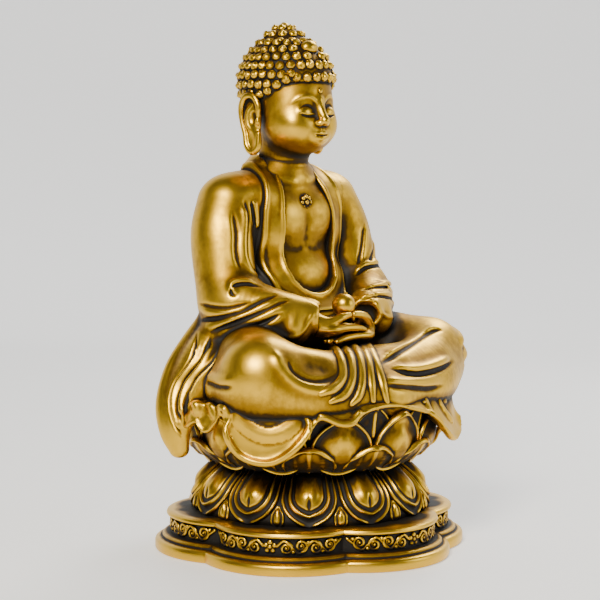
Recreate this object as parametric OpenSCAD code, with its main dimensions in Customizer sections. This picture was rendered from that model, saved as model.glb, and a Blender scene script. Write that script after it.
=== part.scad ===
// Seated meditating figure on a double lotus throne, cast in brass in sections.
// Millimetres. +Z is up, the figure faces -Y, and the origin is the centre of the foot's underside.

/* [Pedestal] */
// Number of round lobes in the plinth's outline
lobe_count = 6; // [5:1:8]
// Distance of each lobe's centre from the axis
lobe_offset = 25; // [22:0.5:28]
// Outermost radius of the foot flange
foot_r = 58.5; // [56:0.5:60]
// Thickness of the foot flange
foot_h = 4.5; // [4:0.1:5.5]
// Outermost radius of the plinth's rim
rim_r = 53.8; // [53:0.1:54.5]
// Outermost radius of the sunk frieze band
band_r = 52.2; // [51.5:0.1:52.6]
// Height of the plinth's deck above the table
plinth_h = 14.5; // [14:0.1:16]

/* [Lotus throne] */
// Petals in each ring of the throne
petal_count = 12; // [10:1:14]
// Height of the waist collar's underside
collar_z = 30.5; // [30:0.1:31]
// Height of the upper lotus's underside
bowl_z = 33; // [32.5:0.1:33.5]
// Height of the seat
seat_z = 57; // [56:0.1:58]
// Radius of the seat
seat_r = 44.5; // [43:0.1:45]

/* [Figure] */
// Distance of each knee's centre from the middle
knee_x = 43; // [40:0.5:44]
// Distance of the knees in front of the axis
knee_y = 22; // [20:0.5:24]
// Distance of each shoulder's centre from the middle
shoulder_x = 28; // [26:0.5:29]
// Distance of each elbow's centre from the middle
elbow_x = 31.5; // [30:0.5:33]
// Height of the top of the head
crown_z = 194.5; // [194:0.5:196]
// Radius of one hair curl
curl_r = 1.75; // [1.5:0.05:1.9]

/* [Fasteners] */
// Radius of the tie rod
rod_r = 3; // [2.5:0.5:3]
// Number of screws in the base plate
screw_count = 4; // [3:1:6]

/* [Hidden] */

wall = 3;               // casting wall
skin_gap = 0.15;        // clearance between two cast surfaces
lobe_step = 360 / lobe_count;
petal_step = 360 / petal_count;
deck_t = 3.5;           // plinth deck
cavity_r = 42;          // relic chamber in the plinth
recess_r = 44.1;        // recess for the base plate
recess_h = 2.4;
plate_t = 1.5;
boss_ring_r = 38;       // circle of the base plate's screws
screw_r = 1.5;
screw_depth = 7;        // top of the screw holes above the foot, less one
washer_t = 1.5;
nut_h = 5;
nut_flats = 10;
rod_top = 74;
figure_fn = 14;         // facets of the cast figure's rounded masses
finger_fn = 8;         // facets of fingers and small folds
curl_fn = 6;            // facets of a hair curl
core_r = 8;             // holes left by the legs' casting core

function mirrored(p, s) = [s * p[0], p[1], p[2]];
function polar(r, a, z) = [r * sin(a), -r * cos(a), z];

// A closed sheet between an outer and an inner grid of points, each grid[row][column].
module sheet_solid(grids) {
    rows = len(grids[0][0]);
    columns = len(grids[0][0][0]);
    one = rows * columns;
    points = [for (g = grids, side = g, row = side, p = row) p];
    function at(s, r, c) = s * one + r * columns + c;
    faces = [for (k = [0:len(grids) - 1]) let(o = 2 * k, i = 2 * k + 1) each concat(
        [for (r = [0:rows - 2], c = [0:columns - 2]) each [
            [at(o, r, c), at(o, r + 1, c + 1), at(o, r, c + 1)],
            [at(o, r, c), at(o, r + 1, c), at(o, r + 1, c + 1)],
            [at(i, r, c), at(i, r, c + 1), at(i, r + 1, c + 1)],
            [at(i, r, c), at(i, r + 1, c + 1), at(i, r + 1, c)]
        ]],
        [for (r = [0:rows - 2], e = [0, columns - 1]) let(n = e == 0 ? 1 : -1) each [
            n > 0 ? [at(o, r, e), at(i, r, e), at(i, r + 1, e)] : [at(o, r, e), at(i, r + 1, e), at(i, r, e)],
            n > 0 ? [at(o, r, e), at(i, r + 1, e), at(o, r + 1, e)]
                : [at(o, r, e), at(o, r + 1, e), at(i, r + 1, e)]
        ]],
        [for (c = [0:columns - 2], e = [0, rows - 1]) let(n = e == 0 ? 1 : -1) each [
            n > 0 ? [at(o, e, c), at(i, e, c + 1), at(i, e, c)] : [at(o, e, c), at(i, e, c), at(i, e, c + 1)],
            n > 0 ? [at(o, e, c), at(o, e, c + 1), at(i, e, c + 1)]
                : [at(o, e, c), at(i, e, c + 1), at(o, e, c + 1)]
        ]]
    )];
    polyhedron(points = points, faces = faces);
}

// A disc with round lobes, r at the tip of each lobe.
module lobed_disc(r, z0, z1) {
    translate([0, 0, z0]) linear_extrude(height = z1 - z0) {
        for (k = [0:lobe_count - 1]) rotate(k * lobe_step - 90) translate([lobe_offset, 0])
            circle(r = r - lobe_offset, $fn = 96);
        circle(r = lobe_offset + 8, $fn = 96);
    }
}

module on_screw_circle() {
    for (k = [0:screw_count - 1]) rotate([0, 0, 45 + k * 360 / screw_count])
        translate([boss_ring_r, 0, 0]) children();
}

module plinth() {
    color("darkgoldenrod") {
        difference() {
            union() {
                lobed_disc(foot_r, 0, foot_h);
                lobed_disc(foot_r - 2.4, foot_h, foot_h + 1.8);
                lobed_disc(band_r, foot_h + 1.8, plinth_h - 2.1);
                lobed_disc(rim_r, plinth_h - 2.1, plinth_h);
            }
            translate([0, 0, -1]) cylinder(r = recess_r, h = recess_h + 1, $fn = 96);
            difference() {
                cylinder(r = cavity_r, h = plinth_h - deck_t, $fn = 96);
                on_screw_circle() cylinder(r = 3, h = plinth_h, $fn = 32);
            }
            on_screw_circle() translate([0, 0, 1]) cylinder(r = screw_r, h = screw_depth, $fn = 32);
            cylinder(r = rod_r + 0.2, h = plinth_h + 1, $fn = 48);
        }
    }
}

// One lobe's openwork: a flower between pairs of scrolls, drawn flat, x along the band and y up it.
module scroll_panel_2d() {
    scroll_x = [5.2, 9.6, 14, 18.2];
    circle(r = 2.3, $fn = 24);
    for (s = [-1, 1], k = [0:3]) translate([s * scroll_x[k], (k % 2 == 0 ? -1 : 1) * 0.5]) difference() {
        circle(r = 2.2, $fn = 24);
        circle(r = 1.2, $fn = 24);
    }
    square([39, 0.9], center = true);
}

module frieze_scrolls() {
    wall_r = band_r - lobe_offset;
    color("goldenrod") for (k = [0:lobe_count - 1]) rotate([0, 0, k * lobe_step - 90])
        translate([lobe_offset, 0, foot_h + 1.8 + 3.05]) intersection() {
            difference() {
                cylinder(r = wall_r + 0.8, h = 5.4, center = true, $fn = 96);
                cylinder(r = wall_r + 0.02, h = 6, center = true, $fn = 96);
            }
            rotate([90, 0, 90]) linear_extrude(height = wall_r + 2) scroll_panel_2d();
        }
}

bell_outline = [[43, plinth_h], [43.4, 16.5], [42.2, 20], [39, 24.5], [35, 28.2], [31.5, collar_z]];

function along(line, t) = let(n = len(line) - 1, i = min(floor(t * n), n - 1), f = t * n - i)
    line[i] * (1 - f) + line[i + 1] * f;

module lower_lotus() {
    inner = [for (k = [4:-1:0]) bell_outline[k] - [wall, k < 4 ? 0 : 0.7]];
    color("darkgoldenrod") rotate_extrude($fn = 96)
        polygon(concat(bell_outline, [[rod_r + 0.2, collar_z], [rod_r + 0.2, collar_z - wall]], inner));
}

// Grids of one hanging petal: half width w, from the collar down to the deck, tip at the bottom.
function hanging_petal(a, w, lift, t0, t1, n) = [for (side = [1, 0]) [for (v = [0:4]) [for (u = [-n:n]) let(
    t = t1 + (t0 - t1) * v / 4, p = along(bell_outline, t),
    half = w * (0.25 + 0.75 * sqrt(sin(15 + 165 * (1 - v / 4) * 0.92))),
    crown = 1 - 0.5 * pow(u / n, 2))
    polar(p[0] + skin_gap + side * lift * crown, a + u / n * half / p[0] * 180 / PI, p[1] + side * 0.3)]]];

module lower_petals() {
    color("goldenrod") {
        sheet_solid([for (k = [0:petal_count - 1])
            hanging_petal((k + 0.5) * petal_step, 8.6, 2.4, 0.16, 0.94, 2)]);
        sheet_solid([for (k = [0:petal_count - 1]) hanging_petal(k * petal_step, 1.6, 0.9, 0.05, 0.3, 1)]);
    }
}

module waist_collar() {
    color("saddlebrown") difference() {
        rotate_extrude($fn = 96) polygon([
            [0, collar_z], [31.2, collar_z], [32.6, collar_z + 0.6], [32.6, collar_z + 1.4],
            [31.4, bowl_z], [0, bowl_z]
        ]);
        translate([0, 0, collar_z - 1]) cylinder(r = rod_r + 0.2, h = 6, $fn = 48);
    }
}

bowl_outline = [[29, bowl_z], [36, 34.4], [40.5, 38], [43, 43], [44.2, 49], [seat_r, seat_z]];

module lotus_bowl() {
    inner = [for (k = [4:-1:1]) bowl_outline[k] - [wall, k == 4 ? -4 : -1.5]];
    color("darkgoldenrod") rotate_extrude($fn = 96) polygon(concat(
        bowl_outline, [[rod_r + 0.2, seat_z], [rod_r + 0.2, seat_z - wall], [seat_r - wall, seat_z - wall]],
        inner, [[22, bowl_z + 1.6], [22, bowl_z]]));
}

// Grids of one standing petal that follows a line of [radius, height] points from root to tip.
function standing_petal(a, line, w, thick, hollow, n) = [for (side = [1, 0]) [for (v = [0:4]) [for (u = [-n:n])
    let(p = along(line, 1 - v / 4), half = w * (v == 0 ? 0.06 : sqrt(sin(20 + 35 * v))),
    dip = hollow * pow(u / n, 2))
    polar(p[0] - dip + side * thick, a + u / n * half / p[0] * 180 / PI, p[1])]]];

module sepals() {
    line = [[31.5, 33.2], [37, 33.5], [41.8, 35.5], [45, 38.6], [46.9, 42]];
    color("goldenrod") sheet_solid([for (k = [0:petal_count - 1])
        standing_petal((k + 0.5) * petal_step, line, 10, 1, 1.6, 2)]);
}

module front_petals() {
    line = [[43.2, 38.2], [45.8, 42], [47.2, 46], [47.4, 50], [47.9, 53.5]];
    color("goldenrod") sheet_solid([for (k = [0:petal_count - 1])
        standing_petal(k * petal_step, line, 9.6, 1.3, 1.6, 2)]);
}

module back_petals() {
    line = [[46.4, 45.5], [46.1, 48.5], [46, 51.5], [46.1, 54], [46.6, 56.6]];
    color("goldenrod") sheet_solid([for (k = [0:petal_count - 1])
        standing_petal((k + 0.5) * petal_step, line, 5.4, 0.7, 0.5, 1)]);
}

module stamen_ring() {
    ring_r = seat_r - 1;
    color("gold") rotate_extrude($fn = 96) translate([ring_r, seat_z + 0.75]) circle(r = 0.7, $fn = 24);
}

// A rounded mass with its centre and its three half sizes.
module mass(c, r, facets = figure_fn) { translate(c) scale(r) sphere(r = 1, $fn = facets); }

module limb(a, ra, b, rb, facets = figure_fn) { hull() { mass(a, ra, facets); mass(b, rb, facets); } }

hip = [19, 8, 70];
knee = [knee_x, -knee_y, 70];
shin = [12, -31, 65];

module leg_masses(inset, facets = figure_fn) {
    r_hip = [15, 15, 13] - [inset, inset, inset];
    r_knee = [14, 14, 12.6] - [inset, inset, inset];
    r_shin = [11, 9, 8.5] - [inset, inset, inset];
    r_lap_front = [20, 9, 9] - [inset, inset, inset];
    r_lap_back = [30, 12, 10] - [inset, inset, inset];
    for (s = [-1, 1]) {
        limb(mirrored(hip, s), r_hip, mirrored(knee, s), r_knee, facets);
        limb(mirrored(knee, s), r_knee, mirrored(shin, s), r_shin, facets);
        limb(mirrored(shin, s), r_shin, mirrored(hip, s), r_hip, facets);
    }
    limb(mirrored(hip, -1), r_hip, hip, r_hip, facets);
    limb(mirrored(shin, -1), r_shin, shin, r_shin, facets);
    limb([0, -26, 64], r_lap_front, [0, 0, 66], r_lap_back, facets);
}

module folded_legs() {
    color("goldenrod") difference() {
        leg_masses(0);
        difference() {
            leg_masses(wall, finger_fn);
            translate([0, 0, seat_z]) cylinder(r = 9, h = 40, $fn = 24);
        }
        for (s = [-1, 1]) translate([s * 19, 2, seat_z - 1]) cylinder(r = core_r, h = 8, $fn = 24);
        translate([-80, -80, 0]) cube([160, 160, seat_z + 0.02]);
        translate([-80, -80, 81]) cube([160, 160, 40]);
        translate([0, 0, seat_z - 1]) cylinder(r = rod_r + 0.1, h = rod_top - seat_z + 1.5, $fn = 24);
    }
}

// The hem that hangs over the lotus, by the angle from the front: its radius where it leaves the seat, and
// the radius and height of its lower edge.
hem_top_r = [[0, 45], [30, 49], [60, 58], [75, 58], [90, 57.4], [120, 54], [150, 50], [180, 49]];
hem_low_r = [
    [0, 47], [30, 50], [55, 50.5], [66, 54], [75, 58.8], [90, 58.8], [105, 56], [120, 54], [180, 49.5]
];
hem_low_z = [
    [0, 56], [12, 54], [22, 55.5], [30, 50], [40, 51], [48, 45], [60, 37], [68, 46], [75, 37], [84, 50],
    [98, 49], [106, 36], [114, 44], [130, 49], [150, 46], [165, 49], [180, 47]
];
hem_gap = 3;       // half angle left open at the back, where the robe's ends meet
hem_steps = 30;    // columns of the hem on each side
hem_thick = 1.2;

function hem_point(a, v, side) = let(
    b = abs(a), r0 = lookup(b, hem_top_r), r1 = lookup(b, hem_low_r), z0 = 60, z1 = lookup(b, hem_low_z))
    v < 0 ? polar(seat_r - 1.4, a, seat_z + 1.5 + side * hem_thick)
    : polar(
        r0 + (r1 - r0) * v + 0.7 * sin(b * 9) * v + side * hem_thick, a,
        z0 + (z1 - z0) * v + side * (1 - v));

module robe_hem() {
    step = (180 - hem_gap) / hem_steps;
    color("goldenrod") difference() {
        sheet_solid([[for (side = [1, 0]) [for (v = [1, 0.66, 0.33, 0, -1]) [for (k = [-hem_steps:hem_steps])
            hem_point(k * step, v, side)]]]]);
        leg_masses(-skin_gap);
    }
}

module front_pleats() {
    color("goldenrod") for (k = [-2:2]) hull() {
        translate([k * 2.1, -31, 77.3]) sphere(r = 1.5, $fn = finger_fn);
        translate([k * 3.2, -41.3, 67]) sphere(r = 1.6, $fn = finger_fn);
        translate([k * 4.4, -45.4, 61]) sphere(r = 1.7, $fn = finger_fn);
    }
}

module torso_masses(inset) {
    i = [inset, inset, inset];
    hull() {
        mass([0, 8, 88], [19, 12, 8] - i);
        mass([0, 11, 104], [18, 12.5, 12] - i);
        mass([0, 14, 124], [23, 12.5, 14] - i);
    }
    limb([0, 14, 132], [16, 10, 9] - i, [0, 13, 142], [10, 8.6, 4] - i);
}

module torso() {
    color("goldenrod") difference() {
        torso_masses(0);
        torso_masses(wall);
        translate([-60, -60, 0]) cube([120, 120, 81.1]);
        translate([0, 13, 130]) cylinder(r = 6.2, h = 30, $fn = 32);
        translate([-60, -60, 144]) cube([120, 120, 20]);
    }
}

module robe_masses() {
    hull() {
        mass([0, 12, 90], [30, 17, 10]);
        mass([0, 15, 118], [28, 16, 20]);
        for (s = [-1, 1]) mass([s * shoulder_x, 18, 124], [9, 12, 12]);
    }
    hull() {
        for (s = [-1, 1]) mass([s * (shoulder_x - 8), 18, 131], [7, 9, 8]);
        mass([0, 17, 142], [14, 8.5, 4]);
    }
}

// The robe's front opening, seen from the front.
opening = [
    [-11, 150], [-12.5, 130], [-13, 110], [-11, 101], [-6, 96.5], [0, 95],
    [6, 96.5], [11, 101], [13, 110], [12.5, 130], [11, 150]
];

module outer_robe() {
    color("goldenrod") difference() {
        robe_masses();
        torso_masses(-skin_gap);
        translate([0, 14, 0]) rotate([90, 0, 0]) linear_extrude(height = 60) polygon(opening);
        for (s = [-1, 1]) sleeve_masses(s, -skin_gap);
        translate([0, 13, 100]) cylinder(r = 10.4, h = 60, $fn = 32);
        translate([-60, -60, 0]) cube([120, 120, 83.6]);
        hull() leg_masses(-skin_gap);
    }
}

module lapel_band() {
    lapel_y = [[96, -5.6], [110, -3.6], [125, -1.2], [138, 3]];
    color("gold") difference() {
        for (s = [-1, 1], k = [0:3]) hull() for (j = [k, k + 1]) let(
            z = [97, 104, 114, 126, 139][j], x = [6, 14.5, 17, 16.6, 14][j])
            translate([s * x, lookup(z, lapel_y), z]) scale([1, 0.45, 1]) sphere(r = 4, $fn = 14);
        torso_masses(-skin_gap);
        robe_masses();
        for (s = [-1, 1]) sleeve_masses(s, -skin_gap);
    }
}

shoulder = [shoulder_x, 17, 124];
elbow = [elbow_x, 9, 94];
wrist = [15.5, -16.5, 88];

module sleeve_masses(s, inset) {
    i = [inset, inset, inset];
    limb(mirrored(shoulder, s), [13, 13, 13] - i, mirrored(elbow, s), [11.5, 12.5, 12] - i);
    limb(mirrored(elbow, s), [11, 12, 10] - i, mirrored(wrist, s), [7, 6.4, 5.6] - i);
}

// The sleeve with its wide mouth, which falls outside the knee to the lotus.
module sleeve(s) {
    difference() {
        union() {
            sleeve_masses(s, 0);
            limb(mirrored([elbow_x + 3, 12, 86], s), [8, 10, 8], mirrored([51, 14, 66], s), [3, 7, 6]);
            limb(mirrored([51, 14, 66], s), [3, 7, 6], mirrored([57.6, 13, 42], s), [1.4, 3.4, 4]);
            limb(mirrored([20, -12, 85], s), [9, 7, 6], mirrored([30, 2, 85], s), [8, 8, 6]);
            for (k = [0:2]) limb(
                mirrored([42, 6 + 4 * k, 86], s), [2, 2, 2],
                mirrored([53, 12 + 2 * k, 62], s), [2, 2, 2], finger_fn);
        }
        leg_masses(-skin_gap);
        torso_masses(-skin_gap);
        translate([0, 0, 20]) cylinder(r = 55.6, h = 42, $fn = 48);
        translate([s * 6, -22, 86]) sphere(r = 9, $fn = 24);
    }
}

module right_sleeve() { color("goldenrod") sleeve(-1); }
module left_sleeve() { color("goldenrod") sleeve(1); }

// A cupped hand: the palm, four fingers that cross the lap, and the thumb that meets the other one.
module hand(s, low) {
    z = 82.2 + low;
    thumb_root = [s * 9.8, -19.5, z + 3.6];
    thumb_knuckle = [s * 5, -21.8, z + 6];
    difference() {
        union() {
            limb([s * 11.5, -18.5, z + 2.4], [5, 4.4, 3], [s * 4, -21, z], [4.5, 4.4, 2.2]);
            for (k = [0:3]) limb(
                [s * 4, -18.4 - 2.1 * k, z], [1.3, 1.25, 1.15],
                [-s * 7.5, -17.6 - 2 * k, z + 0.8], [1.1, 1.1, 1.05], finger_fn);
            limb(thumb_root, [1.7, 1.6, 1.6], thumb_knuckle, [1.3, 1.3, 1.25], finger_fn);
            limb(thumb_knuckle, [1.3, 1.3, 1.25], [s * 1.35, -22.4, z + 6.2], [1.15, 1.2, 1.15], finger_fn);
            limb([s * 12, -18, z + 3], [4.6, 4, 3], thumb_root, [1.7, 1.6, 1.6], finger_fn);
        }
        sleeve_masses(s, -skin_gap);
        sleeve_masses(-s, -skin_gap);
        leg_masses(-skin_gap);
        translate([0, -17.4, 90.6]) sphere(r = 4.5, $fn = 24);
    }
}

module right_hand() {
    color("gold") difference() {
        hand(-1, 2.4);
        translate([-20, -60, 60]) cube([60, 80, 23.3]);
    }
}

module left_hand() {
    color("gold") intersection() {
        hand(1, -0.6);
        translate([-30, -60, 60]) cube([60, 80, 23.1]);
    }
}

module wish_jewel() { color("gold") translate([0, -17.4, 90.6]) sphere(r = 4.3, $fn = 64); }

skull = [0, 12, 174.6];
face = [0, 9.5, 163];

module head_masses(gap) {
    g = [gap, gap, gap];
    hull() {
        mass([0, 12, 172], [15.6, 17.2, 15] + g);
        mass(face, [14.8, 15, 13] + g);
        mass([0, 4.6, 151.4], [8.6, 8.6, 5.6] + g);
    }
}

module head() {
    color("goldenrod") difference() {
        union() {
            head_masses(0);
            limb([0, -5.6, 164], [1.2, 1.4, 3], [0, -6.4, 156.8], [2, 1.4, 1.4], finger_fn);
            for (s = [-1, 1])
                limb([s * 5.2, -3.6, 162], [2.6, 2, 1.2], [s * 6.4, -3.2, 161.8], [2, 1.8, 1], finger_fn);
            limb([-2, -4.6, 152.6], [1.6, 1.6, 1], [2, -4.6, 152.6], [1.6, 1.6, 1], finger_fn);
            translate([0, 13, 140]) cylinder(r = 9.4, h = 20, $fn = 32);
            translate([0, 13, 132]) cylinder(r = 6, h = 10, $fn = 32);
            for (k = [0:2]) translate([0, 13, 140 + 2.4 * k]) cylinder(r = 9.9, h = 1.2, $fn = 32);
        }
        translate([0, 12, 120]) cylinder(r = 4, h = 50, $fn = 24);
        torso_masses(0.02);
        hair_cap(0.02);
    }
}

module ear(s) {
    difference() {
        union() {
            limb([s * 16.6, 14.6, 164], [1.5, 3.2, 3.6], [s * 16.8, 14.2, 158], [1.4, 2.4, 2.4]);
            limb([s * 16.8, 14.2, 158], [1.4, 2.4, 2.4], [s * 16.4, 13.2, 149], [1.3, 2.2, 2.6]);
        }
        head_masses(skin_gap);
        hair_cap(skin_gap);
        robe_masses();
    }
}

module right_ear() { color("goldenrod") ear(-1); }
module left_ear() { color("goldenrod") ear(1); }

// The hair's smooth cap, cut to the hairline, with the raised knot on top.
module hair_cap(gap) {
    g = [gap, gap, gap];
    intersection() {
        union() {
            hull() mass(skull, [17.2, 18.6, 13.4] + g);
            hull() { mass([0, 13.5, 184], [10, 10, 8.4] + g); mass([0, 13.5, 178], [13, 13, 8] + g); }
            limb([0, 17, 168], [15.4, 13, 13] + g, [0, 17, 162], [13, 11, 8] + g);
        }
        union() {
            translate([-40, -40, 170.6 - gap]) cube([80, 80, 40]);
            translate([-40, 17 - gap, 153 - gap]) cube([80, 40, 60]);
            translate([-40, 10 - gap, 165.5 - gap]) cube([80, 60, 60]);
        }
    }
}

// Curls stand in staggered rows round the skull, each row as wide as the skull is there. A row is its
// height, whether it is on the knot, and how far its curls lean up.
curl_rows = [
    [172, 0, 5], [175.5, 0, 5], [179, 0, 30], [182.2, 0, 45],
    [185, 1, 20], [188, 1, 40], [190.8, 1, 60]
];
nape_rows = [157, 160.6, 164.2, 167.8];
nape_width = [[156, 8.6], [158, 10.8], [161, 13], [164, 14.4], [168, 15.3]];
curl_pitch = 3.8;

function half_size(z, on_knot) = let(
    t = on_knot ? (z - 182) / 12 : (z - 174.6) / 13.4,
    k = sqrt(max(0.02, 1 - t * t)))
    on_knot ? [10.6 * k, 10.6 * k, 13.5] : [17.2 * k, 18.6 * k, 12];

// A blunt stud on a surface at p, pointing out at angle a from the front and leaning up by lean degrees.
module curl(p, a, lean) {
    translate(p) rotate([0, 0, a - 90]) rotate([0, 90 - lean, 0]) translate([0, 0, -1.2])
        cylinder(r1 = curl_r, r2 = curl_r * 0.5, h = curl_r + 1.2, $fn = curl_fn);
}

module curls() {
    for (k = [0:len(curl_rows) - 1]) let(
        row = curl_rows[k], z = row[0], h = half_size(z, row[1] == 1),
        count = max(6, round(PI * (h[0] + h[1]) / curl_pitch)))
        for (j = [0:count - 1]) let(a = 360 / count * (j + (k % 2) / 2))
            curl([h[0] * sin(a), h[2] - h[1] * cos(a), z], a, row[2]);
    for (k = [0:len(nape_rows) - 1]) let(z = nape_rows[k], w = lookup(z, nape_width))
        for (j = [-5:5]) let(a = 180 + (j + (k % 2) / 2) * 15.5)
            curl([w * sin(a), 17 - w * 0.84 * cos(a), z], a, -5);
    curl([0, 13.5, crown_z - curl_r], 0, 90);
}

module hair() {
    color("darkgoldenrod") union() {
        difference() {
            hair_cap(0);
            translate([0, 12, 120]) cylinder(r = 4, h = 50, $fn = 24);
        }
        difference() {
            curls();
            crown_jewel_shape(skin_gap);
        }
    }
}

module crown_jewel_shape(gap) {
    hull() mass([0, -1.6, 184.6], [4.2 + gap, 2.8 + gap, 2.9 + gap], finger_fn);
}

module crown_jewel() {
    color("gold") difference() {
        crown_jewel_shape(0);
        hair_cap(0.02);
    }
}

module urna() { color("gold") translate([0, -6, 167.6]) sphere(r = 0.9, $fn = 32); }

module chest_rosette() {
    color("gold") translate([0, 1.1, 127.6]) rotate([90, 0, 0]) {
        cylinder(r = 1.5, h = 1.6, $fn = 32);
        for (k = [0:7]) rotate([0, 0, k * 45]) translate([2.1, 0, 0]) cylinder(r = 0.8, h = 1.2, $fn = 24);
    }
}

module tie_rod() {
    rod_low = plinth_h - deck_t - washer_t - nut_h - 1;
    color("silver") translate([0, 0, rod_low]) cylinder(r = rod_r, h = rod_top - rod_low, $fn = 48);
}

module tie_nut() {
    color("silver") translate([0, 0, plinth_h - deck_t - washer_t - nut_h]) difference() {
        cylinder(r = nut_flats / sqrt(3), h = nut_h, $fn = 6);
        translate([0, 0, -1]) cylinder(r = rod_r + 0.02, h = nut_h + 2, $fn = 48);
    }
}

module tie_washer() {
    color("silver") translate([0, 0, plinth_h - deck_t - washer_t]) difference() {
        cylinder(r = 9, h = washer_t, $fn = 48);
        translate([0, 0, -1]) cylinder(r = rod_r + 0.2, h = washer_t + 2, $fn = 48);
    }
}

module base_plate() {
    color("peru") difference() {
        translate([0, 0, recess_h - plate_t]) cylinder(r = recess_r - 0.1, h = plate_t, $fn = 96);
        on_screw_circle() cylinder(r = screw_r + 0.2, h = recess_h + 1, $fn = 32);
    }
}

module base_screws() {
    color("silver") on_screw_circle() {
        translate([0, 0, recess_h - plate_t]) cylinder(r = screw_r - 0.02, h = 6, $fn = 32);
        translate([0, 0, recess_h - plate_t - 0.7]) cylinder(r = 2.7, h = 0.7, $fn = 32);
    }
}

plinth();
frieze_scrolls();
lower_lotus();
lower_petals();
waist_collar();
lotus_bowl();
sepals();
front_petals();
back_petals();
stamen_ring();
folded_legs();
robe_hem();
front_pleats();
torso();
outer_robe();
lapel_band();
right_sleeve();
left_sleeve();
right_hand();
left_hand();
wish_jewel();
head();
right_ear();
left_ear();
hair();
crown_jewel();
urna();
chest_rosette();
tie_rod();
tie_nut();
tie_washer();
base_plate();
base_screws();
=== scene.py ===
"""A cast brass figure in meditation on a double lotus throne, sculpted round its CAD frame.

All sculpting is in millimetres in the frame's own axes; meshes are written in metres.
"""

import logging
import math
from dataclasses import dataclass
from enum import Enum
from typing import Callable, Optional, Sequence

import bmesh
import bpy
import numpy as np
import openvdb
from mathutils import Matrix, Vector


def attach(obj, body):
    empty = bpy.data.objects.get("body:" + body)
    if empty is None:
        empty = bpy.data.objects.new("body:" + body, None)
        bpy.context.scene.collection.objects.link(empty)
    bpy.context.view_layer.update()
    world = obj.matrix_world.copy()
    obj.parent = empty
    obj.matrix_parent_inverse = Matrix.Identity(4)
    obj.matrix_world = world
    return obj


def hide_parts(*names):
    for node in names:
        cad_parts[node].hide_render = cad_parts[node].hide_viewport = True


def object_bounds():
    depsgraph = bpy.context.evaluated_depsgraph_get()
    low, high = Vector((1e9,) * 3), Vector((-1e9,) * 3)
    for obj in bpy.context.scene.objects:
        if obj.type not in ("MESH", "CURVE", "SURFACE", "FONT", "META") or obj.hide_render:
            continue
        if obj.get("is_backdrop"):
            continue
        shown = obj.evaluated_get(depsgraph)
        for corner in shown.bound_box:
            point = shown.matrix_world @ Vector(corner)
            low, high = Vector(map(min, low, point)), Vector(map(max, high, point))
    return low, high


LOG = logging.getLogger("statue")
MM = 0.001
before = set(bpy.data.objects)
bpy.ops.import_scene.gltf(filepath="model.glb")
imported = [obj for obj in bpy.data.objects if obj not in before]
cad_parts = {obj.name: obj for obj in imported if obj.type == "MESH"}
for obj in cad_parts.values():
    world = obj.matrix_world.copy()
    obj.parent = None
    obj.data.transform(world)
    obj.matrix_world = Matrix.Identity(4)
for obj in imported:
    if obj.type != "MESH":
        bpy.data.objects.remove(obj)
CAD_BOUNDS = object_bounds()
ROOT = "root"
COARSE = 1.0

Array = np.ndarray


# ---------------------------------------------------------------- small geometry helpers


def spline(points: Sequence[Sequence[float]], count: int) -> Array:
    """Smooth curve through control points.

    Args:
        points: Control points, of any width.
        count: Number of points returned.

    Returns:
        Array of shape (count, width).
    """
    p = np.asarray(points, float)
    if len(p) == 2:
        t = np.linspace(0, 1, count)[:, None]
        return p[0] * (1 - t) + p[1] * t
    q = np.vstack([2 * p[0] - p[1], p, 2 * p[-1] - p[-2]])
    at = np.linspace(0, len(p) - 1 - 1e-9, count)
    i = at.astype(int)
    t = (at - i)[:, None]
    a, b, c, d = q[i], q[i + 1], q[i + 2], q[i + 3]
    return 0.5 * (2 * b + (c - a) * t + (2 * a - 5 * b + 4 * c - d) * t**2 + (3 * b - a - 3 * c + d) * t**3)


def ramp(x: Array, low: float, high: float) -> Array:
    """Smooth step from 0 at low to 1 at high."""
    t = np.clip((x - low) / (high - low), 0, 1)
    return t * t * (3 - 2 * t)


def bell_curve(x: Array, width: float) -> Array:
    """Rounded bump, 1 at zero, that fades over a width."""
    return np.exp(-((x / width) ** 2))


def join(a: Array, b: Array, soft: float) -> Array:
    """Union of two distance fields, blended over a softness in millimetres."""
    if soft <= 0:
        return np.minimum(a, b)
    h = np.maximum(soft - np.abs(a - b), 0) / soft
    return np.minimum(a, b) - h * h * soft * 0.25


def polar(radius: Array, degrees: Array, z: Array) -> Array:
    """Points at an angle counted from the front (-Y) towards the figure's left (+X)."""
    a = np.radians(degrees)
    radius, a, z = np.broadcast_arrays(radius, a, z)
    return np.stack([radius * np.sin(a), -radius * np.cos(a), z], axis=-1)


# ---------------------------------------------------------------- finishes


def linear(code: str) -> tuple[float, float, float, float]:
    """Linear colour for a shader from an sRGB hex value."""
    parts = [int(code[i : i + 2], 16) / 255 for i in (1, 3, 5)]
    low = [c / 12.92 if c <= 0.04045 else ((c + 0.055) / 1.055) ** 2.4 for c in parts]
    return (low[0], low[1], low[2], 1.0)


def add_node(tree: bpy.types.NodeTree, kind: str, settings: dict, inputs: dict) -> bpy.types.Node:
    """Add a node with its settings, constant inputs and links.

    Args:
        tree: Node tree to add to.
        kind: The node's type.
        settings: Attribute names and values.
        inputs: Socket name or index to a constant or to an output socket to link.

    Returns:
        The new node.
    """
    node = tree.nodes.new(kind)
    for key, value in settings.items():
        setattr(node, key, value)
    for key, value in inputs.items():
        if isinstance(value, bpy.types.NodeSocket):
            tree.links.new(value, node.inputs[key])
        else:
            node.inputs[key].default_value = value
    return node


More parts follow.
